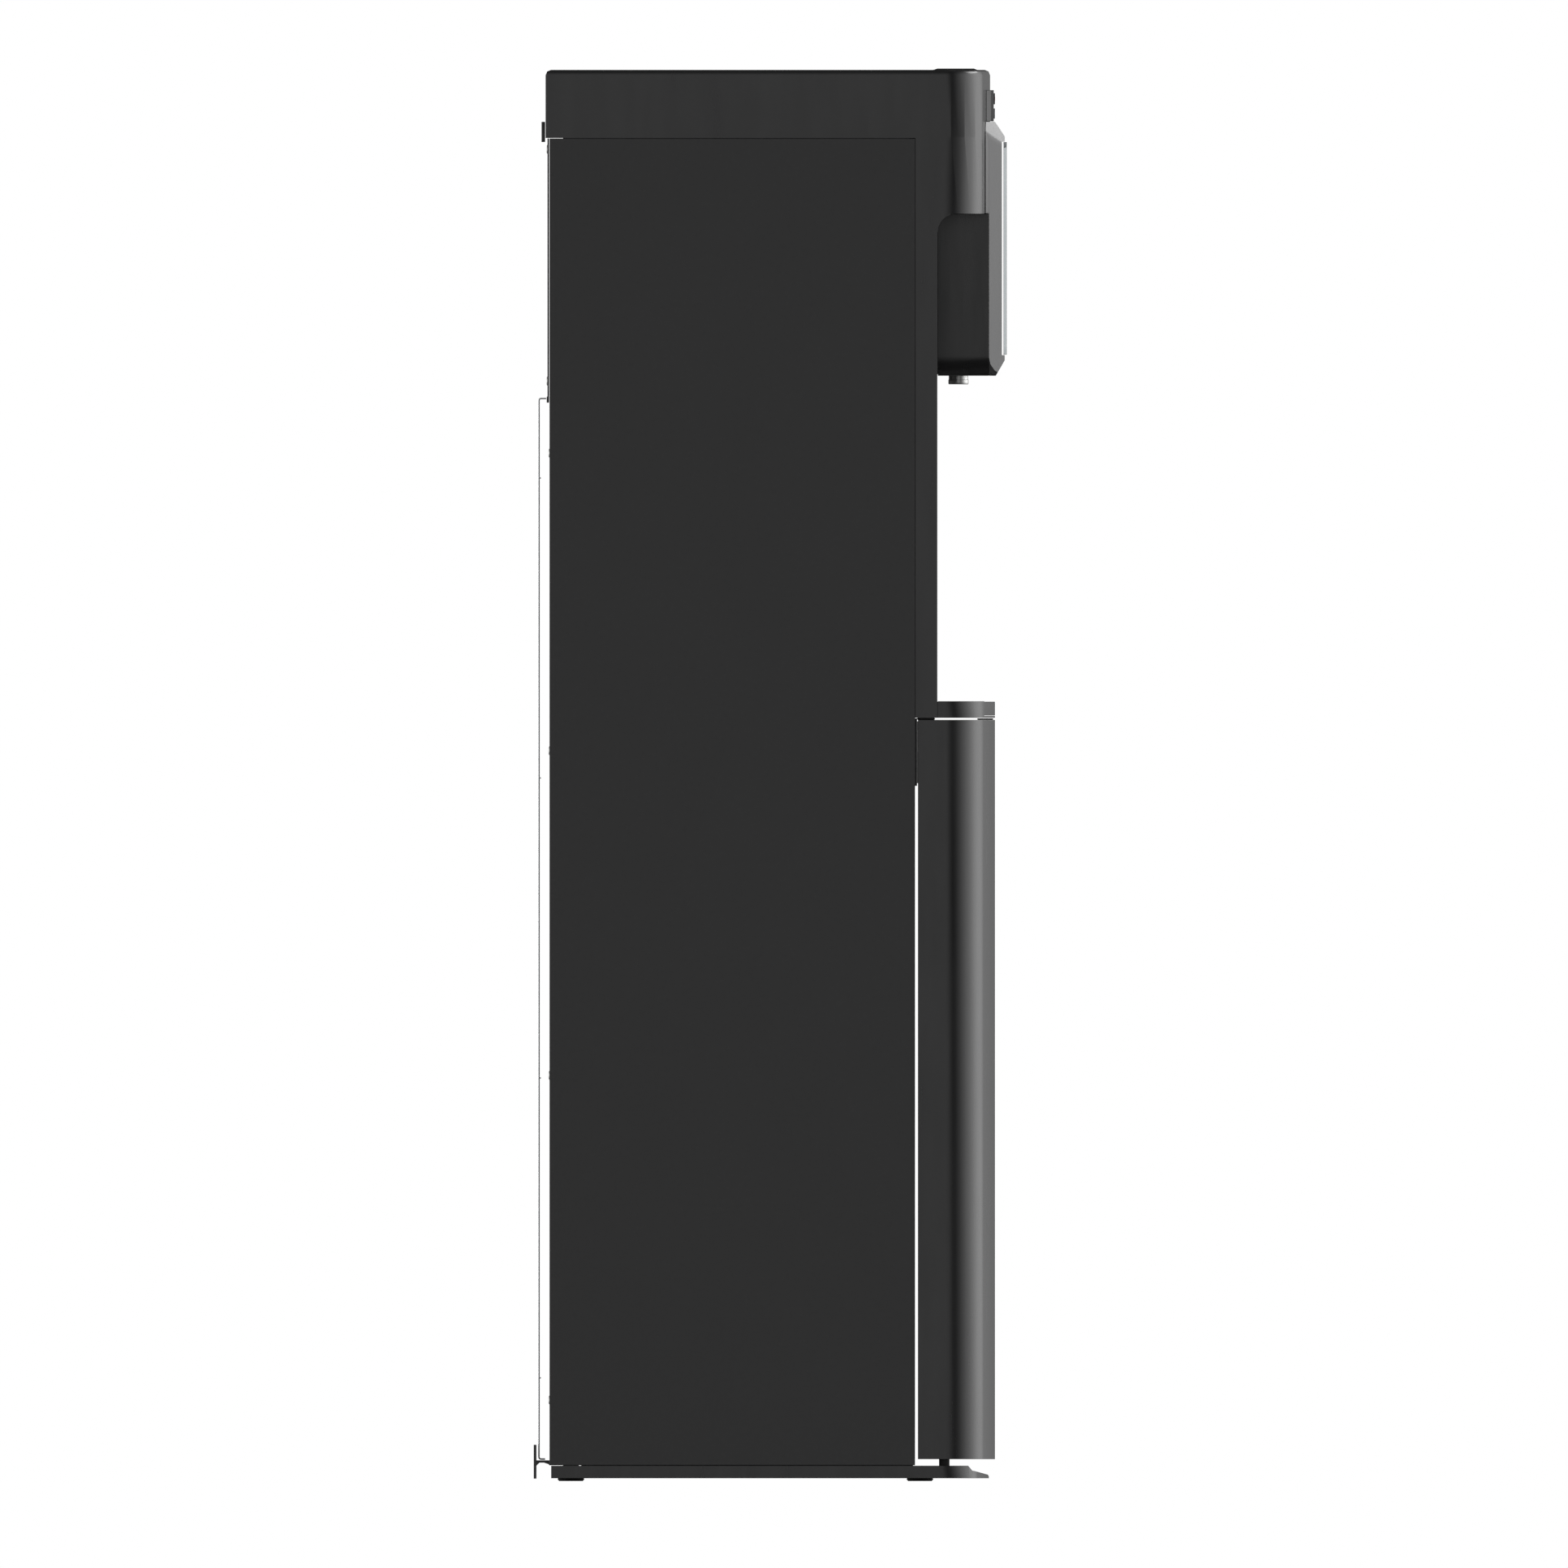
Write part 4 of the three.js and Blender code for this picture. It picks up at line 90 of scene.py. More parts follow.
# Dark cords in the joints of the head and along the door, painted shade: they draw the shadow lines of
# the gaps
CORD_RADIUS = 0.5 * MM
CORD_INSET = 8 * MM
FRONT_CORD_INSET = 23 * MM
CORD_OFFSET = 0.15 * MM
REAR_CORD_START = 1 * MM
FRONT_CORD_START = 0.2 * MM
DOOR_CORD_RADIUS = 0.28 * MM
DOOR_CORD_INSET = 1.5 * MM
DOOR_CORD_START = 2 * MM
DOOR_CORD_END = 1 * MM
LIP_CORD_RADIUS = 0.2 * MM
LIP_CORD_INSET = 30 * MM
LIP_CORD_START = 0.3 * MM
LIP_CORD_END = 13 * MM
LIP_CORD_DROP = 1.0 * MM
LIP_CORD_RISE = 0.15 * MM

# Strip on top of the door
BUMPER_LENGTH = 70 * MM
BUMPER_DEPTH = 12 * MM
BUMPER_SETBACK = 1.2 * MM
BUMPER_CLEARANCE = 0.35 * MM
BUMPER_SEAT = 0.05 * MM
BUMPER_EDGE = 0.3 * MM

# Slips beside the shield and the button bezel
SLIP_EDGE = 0.08 * MM
SHIELD_TRIM_DEPTH = 2.4 * MM
SHIELD_TRIM_REACH = 0.3 * MM
SHIELD_TRIM_START = 0.8 * MM
SHOULDER_DROP = 13 * MM
SHOULDER_RISES = (0, 1.4 * MM, 6.7 * MM)
BEZEL_TRIM_DEPTH = 3.5 * MM
BEZEL_TRIM_SETBACK = 1.9 * MM
BEZEL_TRIM_GAP = 0.02 * MM
BEZEL_TRIM_MARGIN = 0.3 * MM

# Screws
SCREW_HEAD = 6.4 * MM
SCREW_HEAD_HEIGHT = 0.8 * MM
SCREW_SLOT = 0.9 * MM
SCREW_SINK = 0.2 * MM
BACK_SCREW_INSET = 8 * MM
SIDE_SCREW_SHIFT = 10 * MM
SIDE_SCREW_HEIGHTS = (60 * MM, 300 * MM, 540 * MM, 760 * MM)
BACK_SHEET = 1.2 * MM

# Spouts
SPOUT_BORE_SHARE = 0.6
SPOUT_BORE_CHAMFER = 0.4 * MM
SPOUT_LIP = 0.6 * MM
SPOUT_STEP_HEIGHT = 3.2 * MM
SPOUT_STEP_DEPTH = 0.3 * MM
SPOUT_NECK_DEPTH = 1.5 * MM
SPOUT_FLANGE = 3 * MM
SPOUT_FLANGE_HEIGHT = 9.1 * MM
SPOUT_FLANGE_THICKNESS = 2 * MM

# Feet
FOOT_HOLLOW = 0.5 * MM
FOOT_HOLLOW_SHARE = 0.45
FOOT_SOLE_SHARE = 0.5
FOOT_CHAMFER = 1.2 * MM
FOOT_GROOVES = 3
FOOT_FIRST_GROOVE = 1.6 * MM
FOOT_GROOVE_PITCH = 1.0 * MM
FOOT_GROOVE_WIDTH = 0.6 * MM
FOOT_GROOVE_DEPTH = 0.35 * MM
FOOT_PAD_TOP = 5 * MM
FOOT_PAD_EDGE = 0.3 * MM
FOOT_STEM = 4 * MM
FOOT_THREADS = 5
FOOT_THREAD_DEPTH = 0.4 * MM

# Drain cap
CAP_WALL = 4 * MM
CAP_FACE = 0.8 * MM
CAP_FACE_BACK = 3 * MM
CAP_FLUTE = 0.45 * MM
CAP_STEPS = 72

# Power gland
GLAND_BORE = 3.5 * MM
GLAND_NUT_OVER_THREAD = 3 * MM
GLAND_NUT_START = 7 * MM
GLAND_NUT_END = 10 * MM
GLAND_THREADS = 5
GLAND_FIRST_THREAD = 0.6 * MM
GLAND_THREAD_PITCH = 1.2 * MM
GLAND_THREAD_DEPTH = 0.5 * MM
GLAND_FLUTE = 0.8 * MM

# Button faces
INLAY_RADIUS = 1.9 * MM
INLAY_THICKNESS = 0.15 * MM
INLAY_SINK = 0.2 * MM
INLAY_STEPS = 32

ROUND_STEPS = 48
AXIS_RADIUS = 1e-7

# Edge rounding of the moulded and folded CAD pieces, in millimetres
SOFT_EDGES = {
    "upper_housing": 0.6, "door_shell": 0.9, "side_panel_left": 0.35, "side_panel_right": 0.35,
    "head_shield": 0.5, "spout_housing": 0.5, "base_pan": 0.6, "display_glass": 0.2,
    "button_bezel": 0.5, "rear_guard": 0.1, "control_board": 0.1, "wall_spacer_left": 0.4,
    "wall_spacer_right": 0.4, "drip_tray": 0.6, "rear_grip": 0.8, "pump": 0.8,
    "compressor": 1.0,
}
DEFAULT_EDGE = 0.25
EDGE_ANGLE = math.radians(32)
SHARP_ANGLE = math.radians(38)

# Studio brightness round the horizon: degrees turned from the machine's left side towards its
# front (or its back), and the level there.
STUDIO = [
    (0, 0.83), (11, 0.83), (18, 0.3), (24, 0.0), (31, 0.03), (41, 0.45), (54, 1.15), (63, 1.75),
    (80, 2.7), (99, 3.5), (112, 3.3), (127, 2.3), (146, 0.95), (166, 0.27), (180, 0.12),
]
# How that brightness falls away below and above the horizon, by the sine of the elevation.
FALL = [
    (-1.0, 0.04), (-0.5, 0.06), (-0.2, 0.6), (0.0, 1.0), (0.2, 0.85), (0.45, 0.3), (0.7, 0.12),
    (1.0, 0.1),
]
SOFTBOX_PLACE = (0.8, -2.5, 2.4)
SOFTBOX_TARGET = (0, 0, 0.9)
SOFTBOX_SIZE = (2.2, 1.2)
SOFTBOX_WATTS = 55
FLOOR_SIZE = 6.0

# Camera: its distance, the point across and up that it is level with, and the room round the object
CAMERA_DISTANCE = 3.0
CAMERA_Y = -0.0102
CAMERA_Z = 0.5154
CAMERA_MARGIN = 1.11


# ---------- materials ----------

def fill_ramp(node, stops):
    """Sets a colour ramp's stops, each a position and an RGB colour."""
    elements = node.color_ramp.elements
    while len(elements) < len(stops):
        elements.new(0.5)
    for element, (position, colour) in zip(elements, stops):
        element.position = position
        element.color = (*colour, 1)


class Shader:
    """A material whose node tree is put together from small named steps."""

    def __init__(self, name):
        self.material = bpy.data.materials.new(name)
        self.material.use_nodes = True
        self.tree = self.material.node_tree
        self.bsdf = self.tree.nodes["Principled BSDF"]
        self.place = self.tree.nodes.new("ShaderNodeTexCoord").outputs["Object"]

    def link(self, output, socket):
        self.tree.links.new(output, self.bsdf.inputs[socket] if isinstance(socket, str) else socket)

    def set(self, **values):
        for name, value in values.items():
            self.bsdf.inputs[name.replace("_", " ")].default_value = value

    def noise(self, scale, detail=3.0, roughness=0.55, stretch=(1, 1, 1)):
        mapping = self.tree.nodes.new("ShaderNodeMapping")
        mapping.inputs["Scale"].default_value = stretch
        self.link(self.place, mapping.inputs["Vector"])
        texture = self.tree.nodes.new("ShaderNodeTexNoise")
        for socket, value in (("Scale", scale), ("Detail", detail), ("Roughness", roughness)):
            texture.inputs[socket].default_value = value
        self.link(mapping.outputs["Vector"], texture.inputs["Vector"])
        return texture.outputs["Fac"]

    def cells(self, scale):
        texture = self.tree.nodes.new("ShaderNodeTexVoronoi")
        texture.inputs["Scale"].default_value = scale
        self.link(self.place, texture.inputs["Vector"])
        return texture.outputs["Distance"]

    def spread(self, source, low, high, start=0.3, end=0.7):
        node = self.tree.nodes.new("ShaderNodeMapRange")
        for socket, value in (("From Min", start), ("From Max", end), ("To Min", low), ("To Max", high)):
            node.inputs[socket].default_value = value
        self.link(source, node.inputs["Value"])
        return node.outputs["Result"]

    def colours(self, source, stops):
        node = self.tree.nodes.new("ShaderNodeValToRGB")
        fill_ramp(node, stops)
        self.link(source, node.inputs["Fac"])
        return node.outputs["Color"]

    def bump(self, source, distance, strength=1.0):
        node = self.tree.nodes.new("ShaderNodeBump")
        node.inputs["Distance"].default_value = distance
        node.inputs["Strength"].default_value = strength
        self.link(source, node.inputs["Height"])
        return node.outputs["Normal"]


def shade(colour, factor):
    return tuple(min(1.0, channel * factor) for channel in colour)


def moulded_plastic(name, colour, roughness, grain=1100.0, depth=0.012 * MM):
    """Spark-eroded grain over faint flow clouds, with a scatter of hairline scuffs in the gloss."""
    s = Shader(name)
    clouds = s.noise(11.0, 4.0)
    scuffs = s.noise(70.0, 6.0, 0.7, (1, 1, 0.12))
    s.link(s.colours(clouds, [(0.3, shade(colour, 0.9)), (0.7, shade(colour, 1.1))]), "Base Color")
    s.link(s.spread(scuffs, roughness * 0.88, roughness * 1.18), "Roughness")
    s.link(s.bump(s.noise(grain, 2.0, 0.6), depth, 0.5), "Normal")
    return s.material


def painted_steel(name, colour, roughness, gloss=0.5):
    """Powder coat with a shallow orange peel."""
    s = Shader(name)
    peel = s.noise(420.0, 2.0, 0.5)
    s.link(s.colours(s.noise(18.0, 4.0), [(0.3, shade(colour, 0.94)), (0.7, shade(colour, 1.06))]),
           "Base Color")
    s.link(s.spread(peel, roughness * 0.92, roughness * 1.1), "Roughness")
    s.link(s.bump(peel, 0.008 * MM, 0.5), "Normal")
    s.set(**{"Specular IOR Level": gloss})
    return s.material


def bare_metal(name, colour, roughness, stretch=(1, 1, 1), scale=60.0):
    """Bare metal with drawn or brushed grain along its stretched direction."""
    s = Shader(name)
    grain = s.noise(scale, 5.0, 0.65, stretch)
    stain = s.noise(9.0, 3.0)
    s.link(s.colours(grain, [(0.25, shade(colour, 0.8)), (0.75, shade(colour, 1.08))]), "Base Color")
    s.link(s.spread(stain, roughness * 0.8, roughness * 1.3), "Roughness")
    s.link(s.bump(grain, 0.015 * MM, 0.35), "Normal")
    s.set(Metallic=1.0)
    return s.material


def spangled_zinc(name, colour):
    """Galvanised sheet and wire: zinc spangle in patches of slightly different grey."""
    s = Shader(name)
    spangle = s.cells(140.0)
    s.link(s.colours(spangle, [(0.1, shade(colour, 0.78)), (0.6, shade(colour, 1.06))]), "Base Color")
    s.link(s.spread(spangle, 0.3, 0.5, 0.0, 0.6), "Roughness")
    s.link(s.bump(s.noise(300.0), 0.02 * MM, 0.4), "Normal")
    s.set(Metallic=0.9)
    return s.material


def rubber(name, colour):
    """Dull rubber with a light bloom of dust."""
    s = Shader(name)
    dust = s.noise(120.0, 5.0, 0.7)
    s.link(s.colours(dust, [(0.35, colour), (0.75, shade(colour, 2.0))]), "Base Color")
    s.link(s.spread(dust, 0.7, 0.92), "Roughness")
    s.link(s.bump(s.noise(700.0), 0.05 * MM, 0.5), "Normal")
    return s.material


def foam(name, colour):
    """Poured insulating foam, its skin full of small blisters."""
    s = Shader(name)
    s.link(s.colours(s.noise(18.0, 5.0), [(0.3, shade(colour, 0.8)), (0.7, colour)]), "Base Color")
    s.link(s.bump(s.cells(260.0), 0.8 * MM, 0.6), "Normal")
    s.link(s.spread(s.noise(60.0), 0.8, 0.95), "Roughness")
    return s.material


def clear_glass(name, colour):
    """Grey-tinted sheet glass, its gloss broken by a trace of wiping haze."""
    s = Shader(name)
    haze = s.noise(30.0, 4.0)
    s.link(s.colours(haze, [(0.3, shade(colour, 0.97)), (0.7, colour)]), "Base Color")
    s.link(s.spread(haze, 0.015, 0.05), "Roughness")
    s.link(s.bump(s.noise(12.0, 2.0), 0.02 * MM, 0.1), "Normal")
    s.set(Transmission_Weight=1.0, IOR=1.5)
    return s.material


def milky_plastic(name, colour):
    """Translucent diffuser plastic or silicone."""
    s = Shader(name)
    cloud = s.noise(80.0, 4.0)
    s.link(s.colours(cloud, [(0.3, shade(colour, 0.88)), (0.7, colour)]), "Base Color")
    s.link(s.spread(cloud, 0.25, 0.4), "Roughness")
    s.link(s.bump(s.noise(500.0), 0.01 * MM, 0.4), "Normal")
    s.set(Subsurface_Weight=0.2, Subsurface_Radius=(0.002, 0.002, 0.002))
    return s.material


def solder_mask(name, colour, track):
    """Circuit board: lacquer over faint square tracks."""
    s = Shader(name)
    tracks = s.cells(420.0)
    s.link(s.colours(tracks, [(0.18, track), (0.24, colour)]), "Base Color")
    s.link(s.bump(tracks, 0.03 * MM, 0.5), "Normal")
    s.link(s.spread(s.noise(50.0), 0.25, 0.4), "Roughness")
    return s.material


MATERIALS = {
    "charcoal_plastic": moulded_plastic("charcoal_plastic", (0.019, 0.019, 0.0194), 0.24),
    "charcoal_steel": painted_steel("charcoal_steel", (0.0115, 0.0115, 0.0117), 0.24, 0.45),
    "black_plastic": moulded_plastic("black_plastic", (0.0135, 0.0135, 0.0138), 0.28),
    "gloss_black": moulded_plastic("gloss_black", (0.17, 0.17, 0.174), 0.16, 700.0, 0.003 * MM),
    "shield_plastic": moulded_plastic("shield_plastic", (0.06, 0.06, 0.061), 0.2, 900.0, 0.006 * MM),
    "panel_glass": clear_glass("panel_glass", (0.46, 0.49, 0.50)),
    "light_trim": milky_plastic("light_trim", (0.30, 0.31, 0.32)),
    "stainless": bare_metal("stainless", (0.58, 0.58, 0.57), 0.38, (1, 1, 30)),
    "galvanised": spangled_zinc("galvanised", (0.66, 0.67, 0.68)),
    "rubber_black": rubber("rubber_black", (0.008, 0.008, 0.008)),
    "foam": foam("foam", (0.78, 0.74, 0.62)),
    "liner_grey": moulded_plastic("liner_grey", (0.075, 0.08, 0.085), 0.42, 800.0),
    "red_rocker": moulded_plastic("red_rocker", (0.42, 0.03, 0.02), 0.22, 500.0, 0.004 * MM),
    "blue_rocker": moulded_plastic("blue_rocker", (0.02, 0.09, 0.36), 0.22, 500.0, 0.004 * MM),
    "button_grey": moulded_plastic("button_grey", (0.035, 0.036, 0.038), 0.22, 900.0, 0.004 * MM),
    "board": solder_mask("board", (0.015, 0.10, 0.04), (0.05, 0.2, 0.09)),
    "silicone": milky_plastic("silicone", (0.62, 0.62, 0.58)),
    "compressor_black": painted_steel("compressor_black", (0.008, 0.008, 0.009), 0.2),
}

# Nodes whose finish differs from the rest of their slot
OWN_MATERIAL = {"head_shield": "shield_plastic", "hinge_pin_lower": "rubber_black"}


# ---------- carried-over CAD nodes ----------

def dress_cad_nodes():
    """Gives each CAD node its material, and rounds its edges without touching its mesh."""
    for name, node in NODES.items():
        node.data.materials.clear()
        node.data.materials.append(MATERIALS[OWN_MATERIAL.get(name, SLOT_OF[name])])
        node.data.polygons.foreach_set("use_smooth", [True] * len(node.data.polygons))
        weld = node.modifiers.new("weld", "WELD")
        weld.merge_threshold = 0.01 * MM
        bevel = node.modifiers.new("bevel", "BEVEL")
        bevel.width = SOFT_EDGES.get(name, DEFAULT_EDGE) * MM
        bevel.segments = 3
        bevel.limit_method = "ANGLE"
        bevel.angle_limit = EDGE_ANGLE
        bevel.harden_normals = True
        even_shading(node)


def even_shading(piece):
    """Keeps flat faces flat in shading, whatever small faces the rounded edges add beside them."""
    weighted = piece.modifiers.new("even_shading", "WEIGHTED_NORMAL")
    weighted.keep_sharp = True
    weighted.weight = 90


# ---------- pieces made here ----------

def place(name, mesh, material, body, replaced=()):
    """Links a finished mesh as a piece of the object that rides on a body."""
    piece = bpy.data.objects.new(name, mesh)
    bpy.context.scene.collection.objects.link(piece)
    mesh.materials.append(MATERIALS[material])
    mesh.polygons.foreach_set("use_smooth", [True] * len(mesh.polygons))
    mesh.set_sharp_from_angle(angle=SHARP_ANGLE)
    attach(piece, body)
    if replaced:
        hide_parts(*replaced)
    return piece


def to_mesh(name, bm):
    bmesh.ops.recalc_face_normals(bm, faces=bm.faces)
    mesh = bpy.data.meshes.new(name)
    bm.to_mesh(mesh)
    bm.free()
    return mesh


def turn_profile(bm, profile, matrix, steps=ROUND_STEPS, flute=0.0):
    """Adds a closed body turned about Z; the profile runs from axis to axis or back to its start.

    A flute sinks every other step of the widest rings by that much, as on a knurled cap.
    """
    rings = []
    widest = max(radius for radius, _ in profile)
    for radius, z in profile:
        if radius < AXIS_RADIUS:
            rings.append([bm.verts.new(matrix @ Vector((0, 0, z)))])
            continue
        depth = flute if radius > widest - AXIS_RADIUS else 0.0
        rings.append([bm.verts.new(matrix @ Vector((
            (radius - depth * (i % 2)) * math.cos(FULL_TURN * i / steps),
            (radius - depth * (i % 2)) * math.sin(FULL_TURN * i / steps), z)))
            for i in range(steps)])
    pairs = list(zip(rings, rings[1:]))
    if profile[0][0] > AXIS_RADIUS:
        pairs.append((rings[-1], rings[0]))
    for low, high in pairs:
        if len(low) == len(high) == 1:
            continue
        for i in range(steps):
            j = (i + 1) % steps
            corners = [low[i % len(low)], low[j % len(low)],
                       high[j % len(high)], high[i % len(high)]]
            bm.faces.new(list(dict.fromkeys(corners)))  # a ring on the axis gives a triangle


def sweep(bm, points, radius, sides=8):
    """Adds a round wire along a path of points, capped at its ends."""
    points = [Vector(p) for p in points]
    count = len(points)
    rings = []
    across = None
    for i, point in enumerate(points):
        before = points[max(i - 1, 0)]
        after = points[min(i + 1, count - 1)]
        along = (after - before).normalized()
        if across is None:
            across = along.orthogonal().normalized()
        across = (across - along * across.dot(along)).normalized()
        other = along.cross(across)
        rings.append([bm.verts.new(
            point + radius * (math.cos(FULL_TURN * k / sides) * across
                              + math.sin(FULL_TURN * k / sides) * other)) for k in range(sides)])
    for low, high in zip(rings, rings[1:]):
        for k in range(sides):
            m = (k + 1) % sides
            bm.faces.new([low[k], low[m], high[m], high[k]])
    bm.faces.new(list(reversed(rings[0])))
    bm.faces.new(rings[-1])


def middle(node, axis):
    low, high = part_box(node)
    return (low[axis] + high[axis]) / 2


def facing(node, y, towards):
    """Frame at a node's middle whose Z axis runs to the rear (towards is -1) or the front (1)."""
    turn = Matrix.Rotation(towards * math.pi / 2, 4, "X")
    return Matrix.Translation((middle(node, 0), y, middle(node, 2))) @ turn


# ---------- spouts ----------

def spout(node):
    """Turned spout: a rolled lip at the tip, a fine step above it, and the flange inside the housing."""
    low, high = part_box(node)
    outer = (high[0] - low[0]) / 2 - SPOUT_FLANGE
    bore = outer * SPOUT_BORE_SHARE
    step = outer - SPOUT_STEP_DEPTH
    neck = outer - SPOUT_NECK_DEPTH
    flange = SPOUT_FLANGE_HEIGHT
    flange_top = flange + SPOUT_FLANGE_THICKNESS
    top = high[2] - low[2]
    profile = [
        (bore, SPOUT_BORE_CHAMFER), (bore + SPOUT_BORE_CHAMFER, 0), (outer - SPOUT_LIP, 0),
        (outer - SPOUT_LIP / 3, SPOUT_LIP / 3), (outer, SPOUT_LIP), (outer, SPOUT_STEP_HEIGHT),
        (step, SPOUT_STEP_HEIGHT + SPOUT_STEP_DEPTH), (step, flange),
        (outer + SPOUT_FLANGE, flange), (outer + SPOUT_FLANGE, flange_top),
        (neck, flange_top), (neck, top), (bore, top),
    ]
    bm = bmesh.new()
    turn_profile(bm, profile, Matrix.Translation((middle(node, 0), middle(node, 1), low[2])))
    place(node + "_turned", to_mesh(node, bm), "stainless", "cabinet", replaced=(node,))


# ---------- feet ----------

def foot(node):
    """Rubber foot: a pad with a grooved rim and a hollow sole, on its threaded stem."""
    low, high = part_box(node)
    pad = (high[0] - low[0]) / 2
    sunk = pad - FOOT_GROOVE_DEPTH
    third = FOOT_GROOVE_WIDTH / 3
    profile = [
        (0, FOOT_HOLLOW), (pad * FOOT_HOLLOW_SHARE, FOOT_HOLLOW), (pad * FOOT_SOLE_SHARE, 0),
        (pad - FOOT_CHAMFER, 0), (pad, FOOT_CHAMFER),
    ]
    for i in range(FOOT_GROOVES):
        z = FOOT_FIRST_GROOVE + i * FOOT_GROOVE_PITCH
        profile += [(pad, z), (sunk, z + third), (sunk, z + 2 * third), (pad, z + 3 * third)]
    profile += [
        (pad, FOOT_PAD_TOP - FOOT_PAD_EDGE), (pad - FOOT_PAD_EDGE, FOOT_PAD_TOP),
        (FOOT_STEM, FOOT_PAD_TOP),
    ]
    root = FOOT_STEM - FOOT_THREAD_DEPTH
    pitch = (high[2] - FOOT_PAD_TOP - FOOT_THREAD_DEPTH) / FOOT_THREADS
    for i in range(FOOT_THREADS):
        z = FOOT_PAD_TOP + i * pitch
        profile += [(root, z + 0.25 * pitch), (FOOT_STEM, z + 0.75 * pitch)]
    profile += [(root, high[2]), (0, high[2])]
    bm = bmesh.new()
    turn_profile(bm, profile, Matrix.Translation((middle(node, 0), middle(node, 1), 0)))
    place(node + "_ribbed", to_mesh(node, bm), "rubber_black", "cabinet", replaced=(node,))


# ---------- condenser and guard ----------

def condenser():
    """Serpentine of round tube with fine upright wires welded across both of its faces."""
    low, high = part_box("condenser")
    radius = CONDENSER_TUBE / 2
    y = (low[1] + high[1]) / 2
    z0, z1 = low[2] + radius, high[2] - radius
    pitch = (z1 - z0) / (CONDENSER_PASSES - 1)
    bend = pitch / 2
    left, right = low[0] + radius + bend, high[0] - radius - bend
    path = []
    for i in range(CONDENSER_PASSES):
        z = z0 + i * pitch
        start, end = (left, right) if i % 2 == 0 else (right, left)
        path += [(start, y, z), (end, y, z)]
        if i == CONDENSER_PASSES - 1:
            break
        sign = 1 if end > start else -1
        for k in range(1, CONDENSER_BEND_STEPS):
            angle = math.pi * k / CONDENSER_BEND_STEPS
            path.append((end + sign * bend * math.sin(angle), y,
                         z + bend - bend * math.cos(angle)))
    bm = bmesh.new()
    sweep(bm, path, radius, sides=10)
    for i in range(CONDENSER_WIRES):
        x = left + (right - left) * (i + 0.5) / CONDENSER_WIRES
        face = radius + CONDENSER_WIRE / 2
        wire_y = y + (face if i % 2 else -face)
        foot_end = (x, wire_y, z0 - CONDENSER_WIRE_BELOW)
        head_end = (x, wire_y, z1 + CONDENSER_WIRE_ABOVE)
        sweep(bm, [foot_end, head_end], CONDENSER_WIRE / 2, sides=6)
    place("condenser_coil", to_mesh("condenser", bm), "compressor_black", "cabinet",
          replaced=("condenser",))


def rear_guard():
    """Grille of round wires with bent-in tips, held by level rungs behind them."""
    low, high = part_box("rear_guard")
    radius = GUARD_WIRE / 2
    outer = high[1] - radius
    foot_y = outer - radius - GUARD_FOOT
    hub = outer - GUARD_BEND
    z0, z1 = low[2] + radius, high[2] - radius
    quarter = [k * math.pi / 6 for k in range(4)]
    bm = bmesh.new()
    for i in range(GUARD_WIRES):
        x = low[0] + radius + i * (high[0] - low[0] - GUARD_WIRE) / (GUARD_WIRES - 1)
        bottom = [(x, hub + GUARD_BEND * math.sin(a), z0 + GUARD_BEND - GUARD_BEND * math.cos(a))
                  for a in quarter]
        top = [(x, hub + GUARD_BEND * math.cos(a), z1 - GUARD_BEND + GUARD_BEND * math.sin(a))
               for a in quarter]
        sweep(bm, [(x, foot_y, z0), *bottom, *top, (x, low[1], z1)], radius)
    rung_y = outer - GUARD_WIRE + GUARD_WELD
    span = high[2] - low[2] - 2 * GUARD_END_MARGIN
    for i in range(GUARD_RUNGS):
        z = low[2] + GUARD_END_MARGIN + i * span / (GUARD_RUNGS - 1) + radius
        sweep(bm, [(low[0], rung_y, z), (high[0], rung_y, z)], radius)
    place("rear_guard_wires", to_mesh("rear_guard", bm), "galvanised", "cabinet",
          replaced=("rear_guard",))


# ---------- seals and trims of the head and door ----------

def head_shade_cords():
    """Dark cords in the joints behind, above and before the spout housing, one run at each side; painted
    shade, standing in for the shadow lines of those gaps.
    """
    low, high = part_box("spout_housing")
    rear = high[1] + CORD_OFFSET
    front = low[1] - CORD_OFFSET
    top = high[2] + CORD_OFFSET
    bm = bmesh.new()
    for side in (-1, 1):
        x = side * (high[0] - CORD_INSET)
        front_x = side * (high[0] - FRONT_CORD_INSET)
        sweep(bm, [(x, rear, low[2] + REAR_CORD_START), (x, rear, top)], CORD_RADIUS)
        sweep(bm, [(x, rear, top), (x, front, top)], CORD_RADIUS)
        sweep(bm, [(front_x, front, low[2] + FRONT_CORD_START), (front_x, front, top)], CORD_RADIUS)
    place("head_shade_cords", to_mesh("head_shade_cords", bm), "rubber_black", "cabinet")


def door_shade_cord():
    """Dark cord on the door's free edge where it closes against the cross rail; painted shade, a dark
    line standing in for the shadow in that gap.
    """
    rail_low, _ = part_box("cross_rail")
    _, door_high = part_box("door_shell")
    x = door_high[0] - DOOR_CORD_INSET
    y = door_high[1] + DOOR_CORD_RADIUS
    start = (x, y, rail_low[2] + DOOR_CORD_START)
    end = (x, y, door_high[2] - DOOR_CORD_END)
    bm = bmesh.new()
    sweep(bm, [start, end], DOOR_CORD_RADIUS)
    place("door_shade_cord", to_mesh("door_shade_cord", bm), "rubber_black", "door")


